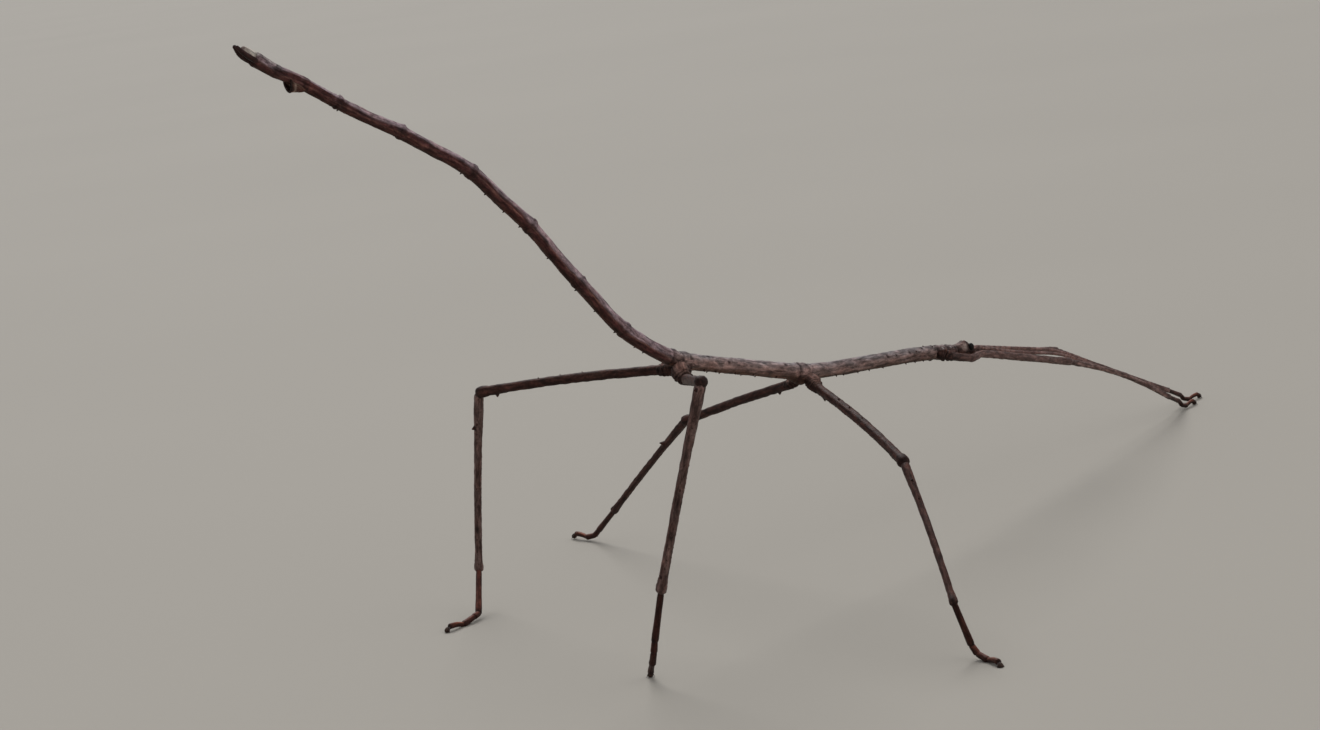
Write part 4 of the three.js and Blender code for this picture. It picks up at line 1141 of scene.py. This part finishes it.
# spines, grown on points and then joined into the skin
spineSettings = {
    "colour": (62, 40, 35), "tipColour": (40, 26, 23),
    "toothRadius": 0.07, "rootRadius": 0.16, "collarRadius": 0.2, "stoutRadius": 0.34,
    "collarBelow": 0.13, "rootAbove": 0.08, "stoutAbove": 0.21,  # heights that choose the radius
    "topRadius": 0.13, "waist": -0.12, "sunk": 0.1, "bend": 0.25,
    "rowSpacing": 1.15, "rowHeight": 0.045, "collarTooth": 0.12,
    "trunk": [
        *[(3 + place, 150, 0.17) for place in (0.1, 0.26, 0.42, 0.55, 0.7, 0.8)],
        *[(3 + place, -158, 0.15) for place in (0.16, 0.37, 0.47, 0.63, 0.73)],
        *[(2 + place, 152, 0.16) for place in (0.14, 0.22, 0.3, 0.48, 0.58, 0.66, 0.76, 0.81)],
        *[(2 + place, -155, 0.14) for place in (0.18, 0.39, 0.53, 0.7, 0.84)],
        *[(place, -155, 0.13) for place in (5.48, 5.65, 6.06, 6.5, 6.92, 7.5, 8.06, 8.34, 8.66, 9.06, 10.9)],
        (2.39, 62, 0.09), (2.22, 58, 0.1), (2.11, 4, 0.12), (2.03, 30, 0.11),
    ],  # station, turn, height
    "legs": {
        "hindLeft": [
            ("femur", 0.9, 180, 0.26), ("femur", 0.42, 0, 0.09), ("femur", 0.54, 0, 0.1),
            ("femur", 0.66, 0, 0.09), ("tibia", 0.19, 90, 0.24),
        ],
        "hindRight": [
            ("femur", 0.9, 180, 0.26), ("femur", 0.5, 0, 0.13), ("tibia", 0.92, 90, 0.2),
            ("tibia", 0.03, 90, 0.2), ("tibia", 0.035, -90, 0.2),
        ],
        "midLeft": [("femur", 0.1, 180, 0.22), ("tibia", 0.25, 60, 0.36)],
        "midRight": [
            ("femur", 0.08, 180, 0.36), ("femur", 0.24, 0, 0.13), ("femur", 0.36, 0, 0.15),
            ("femur", 0.5, 0, 0.12), ("femur", 0.86, 180, 0.3), ("tibia", 0.15, 0, 0.19),
            ("tibia", 0.28, 0, 0.17),
        ],
        "foreLeft": [],
        "foreRight": [],
    },
}


def spineTree():
    s = spineSettings
    tree, given = growTree("growSpines", {"Bend": s["bend"]})
    cone = outOf(tree, "GeometryNodeMeshCone", {
        "Vertices": 9, "Side Segments": 6, "Radius Top": s["topRadius"], "Radius Bottom": 1.0, "Depth": 1.0,
    })
    spot = outOf(tree, "GeometryNodeInputPosition")
    x, y, z = addNode(tree, "ShaderNodeSeparateXYZ", {"Vector": spot}).outputs
    waist = calc(tree, "MULTIPLY", calc(tree, "SINE", calc(tree, "MULTIPLY", z, math.pi)), s["waist"])
    lean = calc(tree, "MULTIPLY", calc(tree, "MULTIPLY", z, z), given["Bend"])
    shift = joined(tree, calc(tree, "MULTIPLY_ADD", x, waist, lean), calc(tree, "MULTIPLY", y, waist))
    shaped = outOf(tree, "GeometryNodeSetPosition", {"Geometry": cone, "Offset": shift})
    turned = outOf(tree, "FunctionNodeEulerToRotation", {"Euler": carried(tree, "spineTurn")})
    size = carried(tree, "spineSize")
    inputs = {"Instance": shaped, "Rotation": turned, "Scale": size}
    return growOnPoints(tree, given, given["Geometry"], inputs)


def spineRows(name, leg):
    # the larger spines of a leg, and the rows of fine teeth under its edges
    s = spineSettings
    rows = list(s["legs"][name])
    for part, turns in (("femur", (-142, 142)), ("tibia", (-138, 138))):
        length = leg[part][0]
        count = int(length * 0.78 / s["rowSpacing"])
        for turn in turns:
            for number in range(count):
                wobble = math.sin(number * 7.3 + turn + length)
                place = 0.12 + 0.78 * (number + 0.5 + 0.25 * wobble) / count
                rows.append((part, place, turn, s["rowHeight"] * (1 + 0.35 * wobble)))
    return rows


def spinesOnSkin(legs, finish):
    s = spineSettings
    spots, turns, sizes = [], [], []

    def plant(centre, side, top, turn, half, height, rootRadius, leanWay):
        outward = top * math.cos(math.radians(turn)) + side * math.sin(math.radians(turn))
        spots.append(centre + outward * half - outward * s["sunk"])
        turns.append(turnTo(outward, leanWay))
        sizes.append((rootRadius * mm, rootRadius * mm, (height + s["sunk"]) * mm))

    listed = list(s["trunk"])
    for number in range(abdomenStart + 1, tailEase):
        listed.append((number - 0.35 / stretchLengths[number - 1], 0, s["collarTooth"]))
    for station, turn, height in listed:
        centre, tangent, side, top = trunkSpot(station)
        rootRadius = s["collarRadius" if height < s["collarBelow"] else "rootRadius"]
        plant(centre, side, top, turn, trunkHalf(station), height, rootRadius, tangent)
    for name, leg in legSettings.items():
        _, hip, knee, ankle, _ = legPoints(leg)
        made = legs[name]
        for part, place, turn, height in spineRows(name, leg):
            which = ("femur", "tibia").index(part)
            start, end = ((hip, knee), (knee, ankle))[which]
            girth = made["size"][part] * profileAt(place, made["profiles"][which])
            bow = made["bows"][which](np.array([place]))[0]
            tangent = unit(end - start)
            side, top = uprightFrame(tangent)
            smaller = "rootRadius" if height > s["rootAbove"] else "toothRadius"
            rootRadius = s["stoutRadius" if height > s["stoutAbove"] else smaller]
            centre = start * (1 - place) + end * place + bow
            plant(centre, side, top, turn, girth / 2, height, rootRadius, tangent)
    points = pointCloud("spineSpots", spots, {"spineTurn": turns, "spineSize": sizes})
    grown = runTree("spines", points, spineTree(), {"Bend": s["bend"], "Finish": finish})
    dropObject(points)
    place = np.array([vertex.co for vertex in grown.data.vertices]) / mm - originShift
    tip = np.tile(easeBetween(0.4, 0.9, np.linspace(0, 1, len(place) // len(spots))), len(spots))
    skinSources.append({
        "points": place,
        "lie": place,
        "coat": painted(linear(s["colour"]), s, ("tipColour", tip)),
        "rough": np.full(len(place), 0.45),
        "grain": 0.0,
    })
    return grown


# one skin
bark = barkFinish()
legs = {name: legParts(name, leg) for name, leg in legSettings.items()}
trunkBody = bodyFrom("skinTrunk", [trunkPart()], 1.0)
print("trunk made")
leftLegs, rightLegs = ([legs[name] for name in legs if name.endswith(way)] for way in ("Left", "Right"))
both = leftLegs + rightLegs
operands = [
    bodyFrom("headBody", [headPart()], 0.6),
    bodyFrom("palps", palpParts(), 0.0),
    bodyFrom("coxaeLeft", [leg["coxa"] for leg in leftLegs], 0.5),
    bodyFrom("coxaeRight", [leg["coxa"] for leg in rightLegs], 0.5),
    bodyFrom("femora", [leg["femur"] for leg in both], 0.3),
    bodyFrom("tibiae", [leg["tibia"] for leg in both], 0.3),
    bodyFrom("oddFootJoints", [part for leg in both for part in leg["odd"]], 0.0),
    bodyFrom("evenFootJoints", [part for leg in both for part in leg["even"]], 0.0),
    bodyFrom("feelers", [feelerPart(-1), feelerPart(1)], 0.0),
    bodyFrom("cup", [cupPart()], 0.2),
    bodyFrom("cerci", [cercusPart(-1), cercusPart(1)], 0.0),
    spinesOnSkin(legs, bark),
]
print("limbs made")


def uniteSkin(base, others):
    for other in others:
        joining = base.modifiers.new(other.name, "BOOLEAN")
        joining.operation = "UNION"
        joining.solver = "MANIFOLD"
        joining.object = other
    depsgraph = bpy.context.evaluated_depsgraph_get()
    mesh = bpy.data.meshes.new_from_object(base.evaluated_get(depsgraph), depsgraph=depsgraph)
    for made in [base, *others]:
        dropObject(made)
    mesh.name = "skin"
    return placeObject("skin", mesh)


def easeSeams(skin, passes=3, onSource=2e-6, spreading=0.6, pull=0.5):
    # softens the lines where bodies meet, and gives every point its lie, coat and roughness
    mesh = skin.data
    place = np.empty(len(mesh.vertices) * 3)
    mesh.vertices.foreach_get("co", place)
    place = place.reshape(-1, 3)
    source = np.vstack([part["points"] for part in skinSources])
    source[:, 2] = np.maximum(source[:, 2], floorLevel)
    source = (source + originShift) * mm
    tree = KDTree(len(source))
    for index, spot in enumerate(source):
        tree.insert(spot, index)
    tree.balance()
    found = [tree.find(spot)[1:] for spot in place]
    nearest = np.array([item[0] for item in found])
    gap = np.array([item[1] for item in found])
    lie, coat = (np.vstack([part[label] for part in skinSources])[nearest] for label in ("lie", "coat"))
    wearCoat(mesh, lie, coat, np.concatenate([part["rough"] for part in skinSources])[nearest])
    grain = np.concatenate([np.full(len(part["points"]), part["grain"]) for part in skinSources])[nearest]
    setAttribute(mesh, "grain", "FLOAT", grain)
    edges = np.empty(len(mesh.edges) * 2, np.int64)
    mesh.edges.foreach_get("vertices", edges)
    edges = edges.reshape(-1, 2)
    soft = (gap > onSource).astype(float)
    for _ in range(2):
        spread = soft.copy()
        np.maximum.at(spread, edges[:, 0], spreading * soft[edges[:, 1]])
        np.maximum.at(spread, edges[:, 1], spreading * soft[edges[:, 0]])
        soft = spread
    for _ in range(passes):
        total, count = np.zeros_like(place), np.zeros(len(place))
        for one, other in ((0, 1), (1, 0)):
            np.add.at(total, edges[:, one], place[edges[:, other]])
            np.add.at(count, edges[:, one], 1)
        mean = total / np.maximum(count, 1)[:, None]
        place = place + (mean - place) * (pull * soft)[:, None]
    mesh.vertices.foreach_set("co", place.astype(np.float32).ravel())
    mesh.update()


sharpFrom = 62
skin = uniteSkin(trunkBody, operands)
print("skin joined:", len(skin.data.vertices), "points")
easeSeams(skin)
skin.data.shade_smooth()
skin.data.set_sharp_from_angle(angle=math.radians(sharpFrom))
skin.data.materials.clear()
skin.data.materials.append(bark)
skin.data.polygons.foreach_set("material_index", np.zeros(len(skin.data.polygons), np.int32))
fleshNodes = [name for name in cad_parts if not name.startswith(("eye_", "supra_anal"))]
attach(skin, "root")
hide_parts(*fleshNodes)

# supra-anal plate
tailPlate = platePart()
plate = bodyFrom("tailPlate", [tailPlate])
wearCoat(plate.data, tailPlate["lie"], tailPlate["coat"], tailPlate["rough"])
plate.data.shade_smooth()
plate.data.materials.append(bark)
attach(plate, "root")
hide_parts("supra_anal_plate")


# eyes: a ball of many small facets
def eyeTree():
    tree, given = growTree("growEye", {"Radius": 0.0004, "Bulge": 0.84, "Facet Edge": 0.8})
    ball = outOf(tree, "GeometryNodeMeshIcoSphere", {"Radius": given["Radius"], "Subdivisions": 5})
    facets = outOf(tree, "GeometryNodeDualMesh", {"Mesh": ball})
    lift = calc(tree, "MULTIPLY", given["Radius"], eyeSettings["facetRise"])
    raised, tops = addNode(
        tree, "GeometryNodeExtrudeMesh", {"Mesh": facets, "Offset Scale": lift, "Individual": True},
        mode="FACES",
    ).outputs[:2]
    domed = outOf(tree, "GeometryNodeScaleElements", {
        "Geometry": raised, "Selection": tops, "Scale": given["Facet Edge"],
    })
    pressed = outOf(tree, "GeometryNodeTransform", {
        "Geometry": domed, "Scale": joined(tree, 1.0, given["Bulge"], 1.0),
    })
    return growOnPoints(tree, given, given["Geometry"], {"Instance": pressed})


lens = eyeFinish()
eyeGrower = eyeTree()
for sideSign, label, node in ((-1, "eyeLeft", "eye_left"), (1, "eyeRight", "eye_right")):
    spot = headPoint(eyeSettings["ahead"], sideSign * eyeSettings["aside"], eyeSettings["above"])
    socket = pointCloud(label + "Spot", [spot], {})
    eye = runTree(label, socket, eyeGrower, {
        "Radius": eyeSettings["radius"] * mm, "Bulge": eyeSettings["bulge"],
        "Facet Edge": eyeSettings["facetEdge"], "Finish": lens,
    })
    dropObject(socket)
    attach(eye, "root")
    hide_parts(node)
print("eyes made")

# claws, a pair on each foot
clawSettings = {
    "length": 0.66, "thickness": 0.17, "curl": 0.2, "splay": 24, "apart": 0.1, "ahead": 0.05,
    "bendPlace": 0.55, "tipShare": 0.16,
}


def clawTree():
    tree, given = growTree("growClaws", {"Length": 0.0007, "Thickness": 0.0002, "Curl": 0.0002})
    half = calc(tree, "MULTIPLY", given["Length"], clawSettings["bendPlace"])
    middle = joined(tree, half, 0.0, calc(tree, "MULTIPLY", given["Curl"], 0.5))
    tip = joined(tree, given["Length"], 0.0, calc(tree, "MULTIPLY", given["Curl"], -1.0))
    spine = outOf(tree, "GeometryNodeCurveQuadraticBezier", {
        "Resolution": 12, "Start": (0, 0, 0), "Middle": middle, "End": tip,
    })
    share = outOf(tree, "GeometryNodeSplineParameter", out="Factor")
    taper = scaledBetween(tree, share, 0.0, 1.0, 1.0, clawSettings["tipShare"])
    curve = outOf(tree, "GeometryNodeSetCurveRadius", {"Curve": spine, "Radius": taper})
    ring = outOf(tree, "GeometryNodeCurvePrimitiveCircle", {
        "Resolution": 10, "Radius": calc(tree, "MULTIPLY", given["Thickness"], 0.5),
    })
    body = addNode(
        tree, "GeometryNodeCurveToMesh", {"Curve": curve, "Profile Curve": ring, "Fill Caps": True},
    )
    for item in body.inputs:
        if item.name == "Scale":
            tree.links.new(taper, item)
    smooth = outOf(tree, "GeometryNodeSetShadeSmooth", {"Geometry": body.outputs[0]})
    turned = outOf(tree, "FunctionNodeEulerToRotation", {"Euler": carried(tree, "clawTurn")})
    return growOnPoints(tree, given, given["Geometry"], {"Instance": smooth, "Rotation": turned})


clawSpots, clawTurns = [], []
for leg in legSettings.values():
    foot = legPoints(leg)[4]
    ahead = unit(foot[5] - foot[4])
    side, top = uprightFrame(ahead)
    for sideSign in (-1, 1):
        splay = math.radians(clawSettings["splay"]) * sideSign
        pointing = ahead * math.cos(splay) + side * math.sin(splay)
        clawSpots.append(foot[4] + ahead * clawSettings["ahead"] + side * sideSign * clawSettings["apart"])
        axes = Matrix((Vector(pointing), Vector(np.cross(top, pointing)), Vector(top)))
        clawTurns.append(axes.transposed().to_euler())
clawPoints = pointCloud("clawSpots", clawSpots, {"clawTurn": clawTurns})
claws = runTree("claws", clawPoints, clawTree(), {
    "Length": clawSettings["length"] * mm, "Thickness": clawSettings["thickness"] * mm,
    "Curl": clawSettings["curl"] * mm, "Finish": clawFinish(),
})
dropObject(clawPoints)
for vertex in claws.data.vertices:
    vertex.co.z = max(vertex.co.z, floorLevel * mm)
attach(claws, "root")
print("claws made")

# grains scattered over the skin
grainSettings = {
    "density": 1.8, "radius": 0.045, "seed": 4, "smallest": (0.5, 0.5, 0.15), "largest": (1.3, 1.3, 0.5),
}


def grainTree():
    s = grainSettings
    tree, given = growTree("growGrains", {
        "Grains per Square Millimetre": 5.0, "Radius": 0.00005, "Seed": 1,
    })
    perMetre = calc(tree, "MULTIPLY", given["Grains per Square Millimetre"], 1e6)
    density = calc(tree, "MULTIPLY", carried(tree, "grain", "FLOAT"), perMetre)
    strewn = addNode(tree, "GeometryNodeDistributePointsOnFaces", {
        "Mesh": given["Geometry"], "Density": density, "Seed": given["Seed"],
    }).outputs
    ball = outOf(tree, "GeometryNodeMeshIcoSphere", {"Radius": given["Radius"], "Subdivisions": 1})
    smooth = outOf(tree, "GeometryNodeSetShadeSmooth", {"Geometry": ball})
    spread = {0: s["smallest"], 1: s["largest"], "Seed": given["Seed"]}
    size = outOf(tree, "FunctionNodeRandomValue", spread, data_type="FLOAT_VECTOR")
    inputs = {"Instance": smooth, "Rotation": strewn["Rotation"], "Scale": size}
    return growOnPoints(tree, given, strewn["Points"], inputs)


grains = runTree("grains", skin, grainTree(), {
    "Grains per Square Millimetre": grainSettings["density"], "Radius": grainSettings["radius"] * mm,
    "Seed": grainSettings["seed"], "Finish": bark,
})
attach(grains, "root")
print("grains made:", len(grains.data.polygons), "faces")
